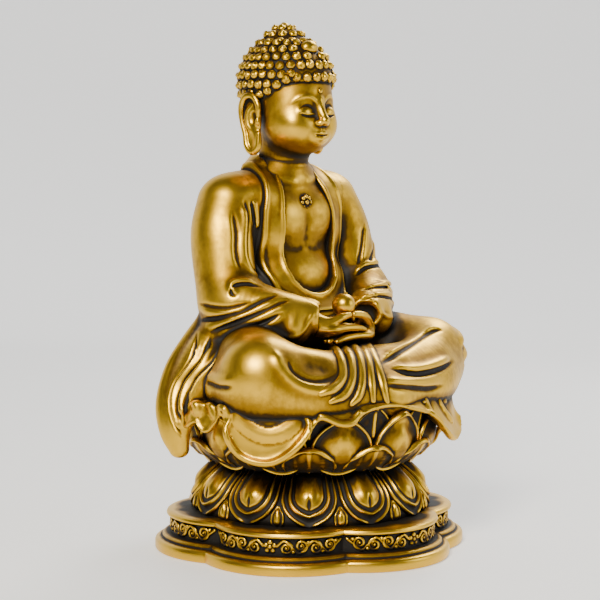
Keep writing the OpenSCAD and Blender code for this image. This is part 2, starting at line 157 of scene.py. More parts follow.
@dataclass(frozen=True)
class AgedBrass:
    """Cast brass under a dark patina that hands have rubbed off wherever it stands proud.

    The two hollow attributes say how deep a point lies among its surroundings, finely (lines and beads) and
    broadly (folds, undercuts and joins between pieces). Deep places keep the near-black patina, high ones
    show worn metal. The broad one is partly patina and partly painted shade: it darkens folds, undercuts and
    joins where shade falls, and faces that look down.
    """

    name: str
    rubbed: str = "#DCAF2C"
    body: str = "#977011"
    brown: str = "#3D2B09"
    patina: str = "#100B05"
    wear: float = 0.0
    depth_gain: float = 2.9
    line_gain: float = 3.2
    rub_roughness: float = 0.35
    grain_mm: float = 0.35
    grain_height: float = 0.035

    def material(self) -> bpy.types.Material:
        """Build the shader."""
        mat = bpy.data.materials.new(self.name)
        mat.use_nodes = True
        tree = mat.node_tree
        tree.nodes.clear()
        out = tree.nodes.new("ShaderNodeOutputMaterial")
        place = add_node(tree, "ShaderNodeTexCoord", {}, {}).outputs["Object"]
        fine = add_node(tree, "ShaderNodeAttribute", {"attribute_name": "hollow_fine"}, {}).outputs["Fac"]
        broad = add_node(tree, "ShaderNodeAttribute", {"attribute_name": "hollow_broad"}, {}).outputs["Fac"]

        def math_node(kind: str, a: object, b: object, clamp: bool = False) -> bpy.types.NodeSocket:
            """One arithmetic step."""
            return add_node(
                tree, "ShaderNodeMath", {"operation": kind, "use_clamp": clamp}, {0: a, 1: b}
            ).outputs[0]

        def noise(size_mm: float, detail: float, distortion: float = 0.0) -> bpy.types.NodeSocket:
            """Noise whose blobs are about size_mm across."""
            return add_node(
                tree,
                "ShaderNodeTexNoise",
                {"noise_dimensions": "3D"},
                {"Vector": place, "Scale": 1 / (size_mm * MM), "Detail": detail, "Distortion": distortion},
            ).outputs["Fac"]

        blotch = noise(14.0, 4.0, 0.6)
        mottle = noise(2.2, 5.0)
        # deep is partly patina and partly painted shade: the broad measure darkens folds, undercuts, joins
        # and faces that look down.
        deep = math_node("MULTIPLY", math_node("SUBTRACT", broad, 0.5), self.depth_gain)
        line = math_node("MULTIPLY", math_node("SUBTRACT", fine, 0.5), self.line_gain)
        drift = math_node("MULTIPLY", math_node("SUBTRACT", blotch, 0.5), 0.34)
        spot = math_node("MULTIPLY", math_node("SUBTRACT", mottle, 0.5), 0.22)
        total = math_node("ADD", math_node("ADD", deep, line), math_node("ADD", drift, spot))
        level = math_node("ADD", total, 0.46 - self.wear, clamp=True)

        ramp_node = add_node(tree, "ShaderNodeValToRGB", {}, {"Fac": level})
        stops = ramp_node.color_ramp
        stops.interpolation = "EASE"
        stops.elements[0].position, stops.elements[0].color = 0.12, linear(self.rubbed)
        stops.elements[1].position, stops.elements[1].color = 0.93, linear(self.patina)
        for position, code in ((0.40, self.body), (0.66, self.brown)):
            stops.elements.new(position).color = linear(code)

        metal = add_node(
            tree, "ShaderNodeMapRange", {}, {
                "Value": level, "From Min": 0.55, "From Max": 0.95, "To Min": 1.0, "To Max": 0.35
            }
        ).outputs["Result"]
        rough = add_node(
            tree,
            "ShaderNodeMapRange",
            {},
            {"Value": level, "From Min": 0.1, "From Max": 0.8, "To Min": self.rub_roughness, "To Max": 0.62},
        ).outputs["Result"]
        smear = math_node("MULTIPLY", math_node("SUBTRACT", noise(5.0, 3.0, 1.2), 0.5), 0.16)
        rough = math_node("ADD", rough, smear, clamp=True)
        grain = noise(self.grain_mm, 3.0)
        pits = noise(1.3, 2.0)
        height = math_node("ADD", grain, math_node("MULTIPLY", pits, 0.8))
        bump = add_node(
            tree, "ShaderNodeBump", {}, {
                "Strength": 0.55, "Distance": self.grain_height * MM, "Height": height
            }
        ).outputs["Normal"]
        shader = add_node(
            tree,
            "ShaderNodeBsdfPrincipled",
            {},
            {"Base Color": ramp_node.outputs["Color"], "Metallic": metal, "Roughness": rough, "Normal": bump},
        )
        tree.links.new(shader.outputs[0], out.inputs["Surface"])
        return mat


# Skin, jewels: the smoothest castings, hand-rubbed, so they glow softly and keep dark lines only.
SKIN = AgedBrass("hand_rubbed_brass", wear=0.08, depth_gain=2.4, rub_roughness=0.32, grain_height=0.02)
# Robe: cast cloth chased with a file, satin on the crests and black in the folds, from patina deepened by
# painted shade.
ROBE = AgedBrass("chased_robe_brass", wear=0.04)
# Hair: bright domes of curls over patina that nobody can rub out from between them.
HAIR = AgedBrass("curl_brass", wear=-0.06, depth_gain=3.0, rub_roughness=0.34)
# Petals and scrolls: relief rubbed bright along its raised lines.
RELIEF = AgedBrass("rubbed_relief_brass", wear=-0.28, depth_gain=2.8, line_gain=4.2, rub_roughness=0.31)
# Lotus grounds and collar: sheltered metal that kept nearly all its patina, and darker still from the painted
# shade of the broad measure.
GROUND = AgedBrass("dark_patina_brass", wear=-0.30, rub_roughness=0.40)
# Plinth: handled most, worn yellow along its rims and dull between.
PLINTH = AgedBrass("plinth_brass", wear=-0.24, rub_roughness=0.33)


@dataclass(frozen=True)
class PlainMetal:
    """Sheet brass or zinc-plated steel inside and under the throne, dull and lightly scratched."""

    name: str
    colour: str
    roughness: float

    def material(self) -> bpy.types.Material:
        """Build the shader."""
        mat = bpy.data.materials.new(self.name)
        mat.use_nodes = True
        tree = mat.node_tree
        shader = tree.nodes["Principled BSDF"]
        place = add_node(tree, "ShaderNodeTexCoord", {}, {}).outputs["Object"]
        cloud = add_node(
            tree, "ShaderNodeTexNoise", {}, {"Vector": place, "Scale": 1 / (6 * MM), "Detail": 5.0}
        ).outputs["Fac"]
        shade = add_node(tree, "ShaderNodeValToRGB", {}, {"Fac": cloud})
        dark = [c * 0.72 for c in linear(self.colour)[:3]] + [1.0]
        shade.color_ramp.elements[0].color = dark
        shade.color_ramp.elements[1].color = linear(self.colour)
        rough = add_node(
            tree,
            "ShaderNodeMapRange",
            {},
            {"Value": cloud, "To Min": self.roughness - 0.08, "To Max": self.roughness + 0.1},
        )
        tree.links.new(shade.outputs["Color"], shader.inputs["Base Color"])
        tree.links.new(rough.outputs["Result"], shader.inputs["Roughness"])
        shader.inputs["Metallic"].default_value = 1.0
        return mat


ZINC = PlainMetal("zinc_plated_steel", "#A9A9A4", 0.42)
SHEET = PlainMetal("rolled_brass_sheet", "#B0903F", 0.38)

_MADE: dict[str, bpy.types.Material] = {}


def dress(finish: AgedBrass | PlainMetal) -> bpy.types.Material:
    """The finish's material, made once."""
    if finish.name not in _MADE:
        _MADE[finish.name] = finish.material()
    return _MADE[finish.name]


# ---------------------------------------------------------------- meshes


def mesh_from(name: str, points: Array, faces: Array, sharp: Optional[float] = None) -> bpy.types.Mesh:
    """Mesh from points in millimetres and equal-sided faces.

    Args:
        name: The mesh's name.
        points: Array of shape (n, 3).
        faces: Array of vertex indices, three or four to a face.
        sharp: Angle in degrees past which an edge stays sharp.

    Returns:
        A smooth-shaded mesh in metres.
    """
    mesh = bpy.data.meshes.new(name)
    faces = np.asarray(faces, np.int32)
    corners = faces.shape[1]
    mesh.vertices.add(len(points))
    mesh.vertices.foreach_set("co", np.ascontiguousarray(points * MM, np.float32).ravel())
    mesh.loops.add(faces.size)
    mesh.loops.foreach_set("vertex_index", faces.ravel())
    mesh.polygons.add(len(faces))
    mesh.polygons.foreach_set("loop_start", np.arange(0, faces.size, corners, dtype=np.int32))
    mesh.polygons.foreach_set("use_smooth", np.ones(len(faces), bool))
    mesh.update(calc_edges=True)
    mesh.validate()
    if sharp is not None:
        mesh.set_sharp_from_angle(angle=math.radians(sharp))
    return mesh


def grid_faces(rows: int, columns: int, closed_rows: bool = False, closed_columns: bool = False) -> Array:
    """Quads of a grid whose points run row by row, optionally joined round either way."""
    r = np.arange(rows if closed_rows else rows - 1)
    c = np.arange(columns if closed_columns else columns - 1)
    i, j = (m.ravel() for m in np.meshgrid(r, c, indexing="ij"))
    k, m = (i + 1) % rows, (j + 1) % columns
    return np.stack([i * columns + j, i * columns + m, k * columns + m, k * columns + j], axis=1)


def outward(mesh: bpy.types.Mesh) -> None:
    """Turn a closed mesh's faces outwards."""
    work = bmesh.new()
    work.from_mesh(mesh)
    bmesh.ops.recalc_face_normals(work, faces=work.faces)
    work.to_mesh(mesh)
    work.free()


def piece(mesh: bpy.types.Mesh, finish: AgedBrass, slot: str, *nodes: str) -> bpy.types.Object:
    """Make a finished object that stands for CAD nodes.

    Args:
        mesh: Final mesh, in place.
        finish: Its finish.
        slot: Not used.
        nodes: CAD nodes that it replaces.

    Returns:
        The object, riding on the root body.
    """
    obj = bpy.data.objects.new(mesh.name, mesh)
    bpy.context.scene.collection.objects.link(obj)
    mesh.materials.clear()
    mesh.materials.append(dress(finish))
    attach(obj, ROOT)
    if nodes:
        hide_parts(*nodes)
    LOG.info("%s: %d faces", obj.name, len(mesh.polygons))
    return obj


# ---------------------------------------------------------------- repeating pieces (Geometry Nodes)


def tree_with(name: str, sizes: dict[str, tuple[str, object]]) -> bpy.types.NodeTree:
    """New Geometry Nodes tree with named inputs and a geometry in and out."""
    tree = bpy.data.node_groups.new(name, "GeometryNodeTree")
    tree.interface.new_socket("Geometry", in_out="INPUT", socket_type="NodeSocketGeometry")
    for label, (kind, default) in sizes.items():
        socket = tree.interface.new_socket(label, in_out="INPUT", socket_type=kind)
        if default is not None:
            socket.default_value = default
    tree.interface.new_socket("Geometry", in_out="OUTPUT", socket_type="NodeSocketGeometry")
    return tree


def bake(
    name: str, base: bpy.types.Mesh, tree: bpy.types.NodeTree, values: dict[str, object]
) -> bpy.types.Mesh:
    """Run a Geometry Nodes tree on a mesh and return the plain mesh it makes.

    Args:
        name: Name of the resulting mesh.
        base: Mesh that the tree starts from.
        tree: The tree.
        values: Values for its named inputs.

    Returns:
        The evaluated mesh.
    """
    obj = bpy.data.objects.new(name + "_maker", base)
    bpy.context.scene.collection.objects.link(obj)
    mod = obj.modifiers.new("make", "NODES")
    mod.node_group = tree
    for item in tree.interface.items_tree:
        if item.in_out == "INPUT" and item.name in values:
            mod[item.identifier] = values[item.name]
    bpy.context.view_layer.update()
    graph = bpy.context.evaluated_depsgraph_get()
    result = bpy.data.meshes.new_from_object(
        obj.evaluated_get(graph), preserve_all_data_layers=True, depsgraph=graph
    )
    result.name = name
    bpy.data.objects.remove(obj)
    return result


def ring_tree() -> bpy.types.NodeTree:
    """Tree that repeats a mesh round the Z axis: inputs Count, Turn (degrees) and Finish."""
    tree = tree_with(
        "repeat_round_axis",
        {
            "Count": ("NodeSocketInt", 12),
            "Turn": ("NodeSocketFloat", 0.0),
            "Finish": ("NodeSocketMaterial", None),
        },
    )
    start = add_node(tree, "NodeGroupInput", {}, {})
    dots = add_node(
        tree, "GeometryNodeMeshLine", {"mode": "OFFSET"}, {
            "Count": start.outputs["Count"], "Offset": (0, 0, 0)
        }
    )
    index = add_node(tree, "GeometryNodeInputIndex", {}, {})
    share = add_node(
        tree, "ShaderNodeMath", {"operation": "DIVIDE"}, {0: index.outputs[0], 1: start.outputs["Count"]}
    )
    turn = add_node(
        tree, "ShaderNodeMath", {"operation": "MULTIPLY_ADD"}, {0: share.outputs[0], 1: 2 * math.pi, 2: 0.0}
    )
    first = add_node(tree, "ShaderNodeMath", {"operation": "RADIANS"}, {0: start.outputs["Turn"]})
    angle = add_node(tree, "ShaderNodeMath", {"operation": "ADD"}, {0: turn.outputs[0], 1: first.outputs[0]})
    euler = add_node(tree, "ShaderNodeCombineXYZ", {}, {"Z": angle.outputs[0]})
    place = add_node(
        tree,
        "GeometryNodeInstanceOnPoints",
        {},
        {"Points": dots.outputs[0], "Instance": start.outputs["Geometry"], "Rotation": euler.outputs[0]},
    )
    real = add_node(tree, "GeometryNodeRealizeInstances", {}, {"Geometry": place.outputs[0]})
    metal = add_node(
        tree, "GeometryNodeSetMaterial", {}, {
            "Geometry": real.outputs[0], "Material": start.outputs["Finish"]
        }
    )
    add_node(tree, "NodeGroupOutput", {}, {"Geometry": metal.outputs[0]})
    return tree


def scatter_tree() -> bpy.types.NodeTree:
    """Tree that stands a mesh on each point, along its own out vector, spun at random from a fixed seed."""
    tree = tree_with(
        "stand_on_points",
        {
            "Stud": ("NodeSocketObject", None),
            "Seed": ("NodeSocketInt", 7),
            "Finish": ("NodeSocketMaterial", None),
        },
    )
    start = add_node(tree, "NodeGroupInput", {}, {})
    way = add_node(tree, "GeometryNodeInputNamedAttribute", {"data_type": "FLOAT_VECTOR"}, {"Name": "out"})
    size = add_node(tree, "GeometryNodeInputNamedAttribute", {"data_type": "FLOAT"}, {"Name": "size"})
    stand = add_node(tree, "FunctionNodeAlignRotationToVector", {"axis": "Z"}, {"Vector": way.outputs[0]})
    spin = add_node(
        tree,
        "FunctionNodeRandomValue",
        {"data_type": "FLOAT"},
        {2: -math.pi, 3: math.pi, "Seed": start.outputs["Seed"]},
    )
    euler = add_node(tree, "ShaderNodeCombineXYZ", {}, {"Z": spin.outputs[1]})
    both = add_node(
        tree,
        "FunctionNodeRotateRotation",
        {"rotation_space": "LOCAL"},
        {"Rotation": stand.outputs[0], "Rotate By": euler.outputs[0]},
    )
    stud = add_node(tree, "GeometryNodeObjectInfo", {}, {"Object": start.outputs["Stud"]})
    place = add_node(
        tree,
        "GeometryNodeInstanceOnPoints",
        {},
        {
            "Points": start.outputs["Geometry"],
            "Instance": stud.outputs["Geometry"],
            "Rotation": both.outputs[0],
            "Scale": size.outputs[0],
        },
    )
    real = add_node(tree, "GeometryNodeRealizeInstances", {}, {"Geometry": place.outputs[0]})
    metal = add_node(
        tree, "GeometryNodeSetMaterial", {}, {
            "Geometry": real.outputs[0], "Material": start.outputs["Finish"]
        }
    )
    add_node(tree, "NodeGroupOutput", {}, {"Geometry": metal.outputs[0]})
    return tree


class Repeats:
    """The two trees that make every repeated piece."""

    def __init__(self) -> None:
        """Build both trees."""
        self.round = ring_tree()
        self.stand = scatter_tree()

    def ring(
        self, name: str, mesh: bpy.types.Mesh, count: int, finish: AgedBrass, turn: float = 0.0
    ) -> bpy.types.Mesh:
        """Repeat a mesh round the axis."""
        return bake(name, mesh, self.round, {"Count": count, "Turn": turn, "Finish": dress(finish)})

    def studs(
        self, name: str, points: Array, outs: Array, sizes: Array,
        stud: bpy.types.Mesh, finish: AgedBrass, seed: int,
    ) -> bpy.types.Mesh:
        """Stand a mesh on each point.

        Args:
            name: Name of the result.
            points: Places in millimetres.
            outs: Direction of each stud.
            sizes: Scale of each stud.
            stud: Mesh in metres, standing along +Z on the origin.
            finish: Its finish.
            seed: Seed of the random spin.

        Returns:
            One mesh holding every stud.
        """
        cloud = bpy.data.meshes.new(name + "_points")
        cloud.vertices.add(len(points))
        cloud.vertices.foreach_set("co", np.ascontiguousarray(points * MM, np.float32).ravel())
        cloud.attributes.new("out", "FLOAT_VECTOR", "POINT").data.foreach_set(
            "vector", outs.astype(np.float32).ravel()
        )
        cloud.attributes.new("size", "FLOAT", "POINT").data.foreach_set("value", sizes.astype(np.float32))
        pattern = bpy.data.objects.new(name + "_stud", stud)
        bpy.context.scene.collection.objects.link(pattern)
        values = {"Stud": pattern, "Seed": seed, "Finish": dress(finish)}
        mesh = bake(name, cloud, self.stand, values)
        bpy.data.objects.remove(pattern)
        return mesh


# ---------------------------------------------------------------- clay


class Fold(Enum):
    """Cross-section of a stroke pressed into or raised on the clay."""

    ROUND = "round"
    CREST = "crest"

    def section(self, q: Array) -> Array:
        """Height at q widths from the stroke's line, 1 at its middle."""
        if self is Fold.CREST:
            return np.exp(-1.35 * q**1.25) * (1 - ramp(q, 1.4, 2.3)) - 0.26 * bell_curve(q - 1.75, 0.62)
        return bell_curve(q, 0.75)


class Clay:
    """A block of voxels that holds signed distance in millimetres and is worked like clay."""

    far: float = 12.0

    def __init__(self, low: Sequence[float], high: Sequence[float], voxel: float) -> None:
        """Start with empty space.

        Args:
            low: Lowest corner in millimetres.
            high: Highest corner.
            voxel: Voxel size at full quality.
        """
        self.voxel = voxel * COARSE
        self.low = np.array(low, float)
        self.count = np.ceil((np.array(high, float) - self.low) / self.voxel).astype(int) + 1
        self.field = np.full(tuple(self.count), self.far, np.float32)

    def window(self, low: Array, high: Array) -> tuple[tuple[slice, ...], list[Array]]:
        """Slices and axis coordinates of the voxels between two corners."""
        a = np.clip(np.floor((low - self.low) / self.voxel).astype(int), 0, self.count - 1)
        b = np.clip(np.ceil((high - self.low) / self.voxel).astype(int) + 1, a + 1, self.count)
        cut = tuple(slice(i, j) for i, j in zip(a, b))
        axes = [(self.low[k] + self.voxel * np.arange(a[k], b[k])).astype(np.float32) for k in range(3)]
        return cut, [axes[0][:, None, None], axes[1][None, :, None], axes[2][None, None, :]]

    def whole(self) -> list[Array]:
        """Axis coordinates of the whole block."""
        return self.window(self.low, self.low + self.voxel * self.count)[1]

    def apply(self, cut: tuple[slice, ...], shape: Array, soft: float, carve: bool) -> None:
        """Join or carve a shape's distance field in a window."""
        old = self.field[cut]
        self.field[cut] = -join(-old, shape, soft) if carve else join(old, shape, soft)

    def ball(
        self,
        centre: Sequence[float],
        radii: Sequence[float],
        soft: float = 1.0,
        carve: bool = False,
        yaw: float = 0.0,
    ) -> None:
        """Add or carve an ellipsoid.

        Args:
            centre: Its centre.
            radii: Half sizes along its own axes.
            soft: Blend width.
            carve: Take away instead of adding.
            yaw: Turn about Z in degrees.
        """
        c, r = np.array(centre, float), np.array(radii, float)
        reach = (r.max() if yaw else r) + soft + 2 * self.voxel
        cut, (x, y, z) = self.window(c - reach, c + reach)
        x, y, z = x - c[0], y - c[1], z - c[2]
        if yaw:
            s, k = math.sin(math.radians(yaw)), math.cos(math.radians(yaw))
            x, y = x * k + y * s, -x * s + y * k
        near = np.sqrt((x / r[0]) ** 2 + (y / r[1]) ** 2 + (z / r[2]) ** 2)
        slope = np.sqrt((x / r[0] ** 2) ** 2 + (y / r[1] ** 2) ** 2 + (z / r[2] ** 2) ** 2)
        self.apply(cut, near * (near - 1) / np.maximum(slope, 1e-4), soft, carve)

    def along(self, path: Array, sizes: Array, reach: float, step: Callable, start: float) -> tuple:
        """Work out a field segment by segment along a path.

        Args:
            path: Points of the path.
            sizes: A row of sizes at each point.
            reach: How far from the path the field matters.
            step: Function of old values, distance and sizes at the nearest point, giving new values.
            start: Value far from the path.

        Returns:
            The window and its field.
        """
        low, high = path.min(0) - reach, path.max(0) + reach
        cut, _ = self.window(low, high)
        made = np.full(self.field[cut].shape, start, np.float32)
        for a, b, sa, sb in zip(path[:-1], path[1:], sizes[:-1], sizes[1:]):
            part, (x, y, z) = self.window(np.minimum(a, b) - reach, np.maximum(a, b) + reach)
            local = tuple(slice(p.start - c.start, p.stop - c.start) for p, c in zip(part, cut))
            d = b - a
            length = max(float(d @ d), 1e-9)
            x, y, z = x - a[0], y - a[1], z - a[2]
            t = np.clip((x * d[0] + y * d[1] + z * d[2]) / length, 0, 1)
            gap = np.sqrt((x - t * d[0]) ** 2 + (y - t * d[1]) ** 2 + (z - t * d[2]) ** 2)
            made[local] = step(made[local], gap, [p + t * (q - p) for p, q in zip(sa, sb)])
        return cut, made

    def tube(
        self,
        points: Sequence[Sequence[float]],
        radii: Sequence[float],
        soft: float = 1.0,
        carve: bool = False,
        pace: float = 1.5,
    ) -> None:
        """Add or carve a round bar along a smooth curve, with a radius at each control point."""
        rows = np.column_stack([np.asarray(points, float), np.asarray(radii, float)])
        length = np.linalg.norm(np.diff(rows[:, :3], axis=0), axis=1).sum()
        line = spline(rows, max(3, int(length / pace) + 1))
        reach = float(max(radii)) + soft + 2 * self.voxel
        cut, made = self.along(
            line[:, :3], line[:, 3:], reach, lambda old, gap, s: np.minimum(old, gap - s[0]), self.far
        )
        self.apply(cut, made, soft, carve)

    def stroke(
        self, path: Array, height: float, width: float,
        kind: Fold = Fold.ROUND, fade: tuple[float, float] = (0.2, 0.2),
    ) -> None:
        """Raise (or with a negative height sink) the surface along a path.

        Args:
            path: Points near the surface.
            height: Height in millimetres.
            width: Half width in millimetres.
            kind: Cross-section.
            fade: Shares of the length over which the stroke fades in and out.
        """
        n = len(path)
        t = np.linspace(0, 1, n)
        rise = np.ones(n)
        if fade[0] > 0:
            rise *= ramp(t, -1e-3, fade[0])
        if fade[1] > 0:
            rise *= 1 - ramp(t, 1 - fade[1], 1 + 1e-3)
        sizes = np.column_stack([height * rise, width * (0.45 + 0.55 * rise)])
        reach = 3.2 * width + self.voxel

        def raised(old: Array, gap: Array, size: list) -> Array:
            """Keep whichever segment moves the surface most."""
            new = size[0] * kind.section(gap / size[1])
            return np.where(np.abs(new) > np.abs(old), new, old)

        cut, made = self.along(path, sizes, reach, raised, 0.0)
        self.field[cut] -= made

    def crease(
        self,
        path: Array,
        depth: float,
        width: float,
        puff: tuple[float, float, float] = (0.0, 0.0, 2.6),
        fade: tuple[float, float] = (0.2, 0.3),
    ) -> None:
        """Sink a cloth crease and let the cloth beside it swell.

        Args:
            path: Points near the surface.
            depth: Depth of the crease.
            width: Half width of the crease.
            puff: Offset from the crease to the middle of the swelling.
            fade: Shares of the length over which it fades in and out.
        """
        self.stroke(path, -depth, width, Fold.ROUND, fade)
        self.stroke(path + np.array(puff), depth * 0.85, width * 2.2, Fold.ROUND, fade)

    def sample(self, points: Array) -> Array:
        """Field values at points, by trilinear interpolation."""
        at = np.clip((points - self.low) / self.voxel, 0, self.count - 1.001)
        i = at.astype(int)
        f = at - i
        total = np.zeros(len(points))
        for dx in (0, 1):
            for dy in (0, 1):
                for dz in (0, 1):
                    share = np.abs(1 - dx - f[:, 0]) * np.abs(1 - dy - f[:, 1]) * np.abs(1 - dz - f[:, 2])
                    total += share * self.field[i[:, 0] + dx, i[:, 1] + dy, i[:, 2] + dz]
        return total

    def gradient(self, points: Array) -> Array:
        """Outward unit vectors at points."""
        h = self.voxel
        g = np.stack([self.sample(points + h * e) - self.sample(points - h * e) for e in np.eye(3)], axis=1)
        return g / np.maximum(np.linalg.norm(g, axis=1, keepdims=True), 1e-6)

    def seen(self, view: float, points: Sequence[Sequence[float]], pace: float = 1.0) -> Array:
        """Lay a line on the surface as a sculptor standing off it would draw it.

        Args:
            view: Direction the sculptor stands in, in degrees from the front towards the figure's left.
            points: (across, up) in millimetres on an upright plane through the axis, seen from an eye 700 mm
                away and 155 mm up.
            pace: Spacing of the points returned.

        Returns:
            Points on the surface.
        """
        flat = np.asarray(points, float)
        length = np.linalg.norm(np.diff(flat, axis=0), axis=1).sum()
        flat = spline(flat, max(4, int(length / pace) + 1))
        a = math.radians(view)
        eye = np.array([700 * math.sin(a), -700 * math.cos(a), 155.0])
        right = np.array([math.cos(a), math.sin(a), 0.0])
        target = flat[:, :1] * right + flat[:, 1:] * np.array([0.0, 0.0, 1.0])
        ray = target - eye
        ray /= np.linalg.norm(ray, axis=1, keepdims=True)
        reach = np.arange(620.0, 760.0, self.voxel * 0.5)
        spots = eye + ray[:, None, :] * reach[None, :, None]
        values = self.sample(spots.reshape(-1, 3)).reshape(len(flat), -1)
        inside = values < 0
        hit = np.where(inside.any(1), inside.argmax(1), values.argmin(1))
        found = reach[hit]
        if len(found) > 4:
            padded = np.pad(found, 1, mode="edge")
            found = (padded[:-2] + padded[1:-1] + padded[2:]) / 3
        return eye + ray * found[:, None]

    def surface(self, only: Optional[Array] = None) -> tuple[Array, Array]:
        """Points and quads of the surface, or of the surface kept by another field."""
        values = self.field if only is None else only
        values = values.copy()
        for axis in range(3):
            edge = [slice(None)] * 3
            for end in (0, -1):
                edge[axis] = end
                values[tuple(edge)] = np.maximum(values[tuple(edge)], self.voxel)
        grid = openvdb.FloatGrid(6.0)
        grid.copyFromArray(np.clip(values, -6, 6).astype(np.float32))
        grid.transform = openvdb.createLinearTransform(voxelSize=self.voxel)
        points, quads = grid.convertToQuads(isovalue=0)
        return largest_shells(points.astype(float) + self.low, quads.astype(np.int64))


def outline_distance(outline: Sequence[tuple[float, float]], x: Array, z: Array) -> Array:
    """Signed distance, negative inside, from a grid of x and z to a closed outline."""
    p = np.asarray(outline, np.float32)
    best = np.full(np.broadcast(x, z).shape, 1e9, np.float32)
    inside = np.zeros(best.shape, bool)
    for a, b in zip(p, np.roll(p, -1, axis=0)):
        d = b - a
        t = np.clip(((x - a[0]) * d[0] + (z - a[1]) * d[1]) / max(float(d @ d), 1e-9), 0, 1)
        best = np.minimum(best, (x - a[0] - t * d[0]) ** 2 + (z - a[1] - t * d[1]) ** 2)
        crosses = ((a[1] > z) != (b[1] > z)) & (x < d[0] * (z - a[1]) / (d[1] if d[1] else 1e-9) + a[0])
        inside ^= crosses
    return np.where(inside, -1, 1) * np.sqrt(best)


def largest_shells(points: Array, quads: Array, share: float = 0.02) -> tuple[Array, Array]:
    """Drop crumbs: shells with less than a share of the largest shell's points."""
    label = np.arange(len(points))
    for _ in range(400):
        low = label[quads].min(1)
        new = label.copy()
        for k in range(4):
            np.minimum.at(new, quads[:, k], low)
        new = new[new]
        if (new == label).all():
            break
        label = new
    names, counts = np.unique(label, return_counts=True)
    kept = np.isin(label, names[counts >= share * counts.max()])
    index = np.cumsum(kept) - 1
    good = kept[quads[:, 0]]
    return points[kept], index[quads[good]]


def sculpted(name: str, clay: Clay, only: Optional[Array] = None) -> bpy.types.Mesh:
    """Mesh of a clay block, or of the part of it that another field keeps."""
    points, quads = clay.surface(only)
    return mesh_from(name, points, quads)


def shield(
    outline: Array,
    spine: Array,
    insets: Sequence[float],
    height: Callable[[Array, Array, Array], Array],
    place: Callable[[Array, Array, Array], Array],
    sink: float = 1.0,
) -> tuple[Array, Array]:
    """Closed relief bounded by a symmetric outline and built of rings that step in towards its spine.

    Args:
        outline: Even number of (across, along) points, mirrored across the middle of the list.
        spine: The spine point that each outline point faces.
        insets: Distances in from the outline, rising from 0.
        height: Height from across, along and inset.
        place: Turns across, along and height into points in space.
        sink: How far the underside lies below the ground.

    Returns:
        Points and quads.
    """
    n = len(outline)
    gap = np.linalg.norm(spine - outline, axis=1)
    rings = []
    for e in insets:
        share = np.minimum(e / gap, 0.97)[:, None]
        flat = outline * (1 - share) + spine * share
        rings.append(place(flat[:, 0], flat[:, 1], height(flat[:, 0], flat[:, 1], np.minimum(e, gap))))
    rings.insert(0, place(outline[:, 0], outline[:, 1], np.full(n, -sink)))
    under = outline * 0.4 + spine * 0.6
    rings.insert(0, place(under[:, 0], under[:, 1], np.full(n, -sink)))
    points = np.concatenate(rings)
    rows = len(rings)
    faces = grid_faces(rows, n, closed_columns=True)
    j = np.arange(n // 2 - 1)
    strip = np.stack([j, j + 1, n - 2 - j, n - 1 - j], axis=1)
    last = (rows - 1) * n
    return points, np.concatenate([faces, strip[:, ::-1], strip + last])


def tongue(
    half: float, low: float, high: float, count: int, cusp: float = 0.0, foot: float = 0.0, flat: float = 1.0
) -> tuple[Array, Array]:
    """Outline and spine of a long petal with round ends, its lower end first.

    Args:
        half: Half width.
        low: Lowest point along the petal.
        high: Highest point.
        count: Even number of outline points.
        cusp: How far a small point stands out of the upper end.
        foot: How far a small point stands out of the lower end.
        flat: Height of the upper end as a share of a half circle.

    Returns:
        Outline and spine points.
    """
    a, b = low + half, high - half * flat
    straight = max(b - a, 0.01)
    total = 2 * math.pi * half + 2 * straight
    s = (np.arange(count) + 0.5) / count * total
    quarter = math.pi * half / 2
    x, y, sx, sy = (np.zeros(count) for _ in range(4))
    mirrored = s > total / 2
    t = np.where(mirrored, total - s, s)
    lower, upper = t < quarter, t > quarter + straight
    side = ~(lower | upper)
    turn = np.where(lower, t / half, (t - quarter - straight) / half)
    x[lower], y[lower] = half * np.sin(turn[lower]), a - half * np.cos(turn[lower])
    sy[lower] = a
    x[side], y[side] = half, a + t[side] - quarter
    sy[side] = y[side]
    x[upper], y[upper] = half * np.cos(turn[upper]), b + half * flat * np.sin(turn[upper])
    sy[upper] = b
    y[lower] -= foot * bell_curve(turn[lower], 0.2)
    y[upper] += cusp * bell_curve((math.pi / 2 - turn[upper]), 0.42)
    x = np.where(mirrored, -x, x)
    return np.stack([x, y], axis=1), np.stack([sx, sy], axis=1)


class Profile:
    """A surface of revolution that relief is laid on: (radius, z) points from bottom to top."""

    def __init__(self, points: Sequence[tuple[float, float]], reference: float) -> None:
        """Prepare the profile.

        Args:
            points: Control points.
            reference: Radius at which across-distances are true.
        """
        self.line = spline(points, 160)
        steps = np.linalg.norm(np.diff(self.line, axis=0), axis=1)
        self.run = np.concatenate([[0], np.cumsum(steps)])
        self.reference = reference

    @property
    def length(self) -> float:
        """Length of the profile."""
        return float(self.run[-1])

    def place(self, across: Array, along: Array, height: Array, turn: float = 0.0) -> Array:
        """Points on the profile at a distance across and along it, lifted by a height."""
        slope = np.gradient(self.line, self.run, axis=0)
        r = np.interp(along, self.run, self.line[:, 0])
        z = np.interp(along, self.run, self.line[:, 1])
        dr, dz = (np.interp(along, self.run, slope[:, k]) for k in range(2))
        over = np.maximum(along - self.run[-1], 0) + np.minimum(along, 0)
        size = np.maximum(np.hypot(dr, dz), 1e-6)
        dr, dz = dr / size, dz / size
        return polar(
            r + over * dr + height * dz, turn + np.degrees(across / self.reference),
            z + over * dz - height * dr
        )


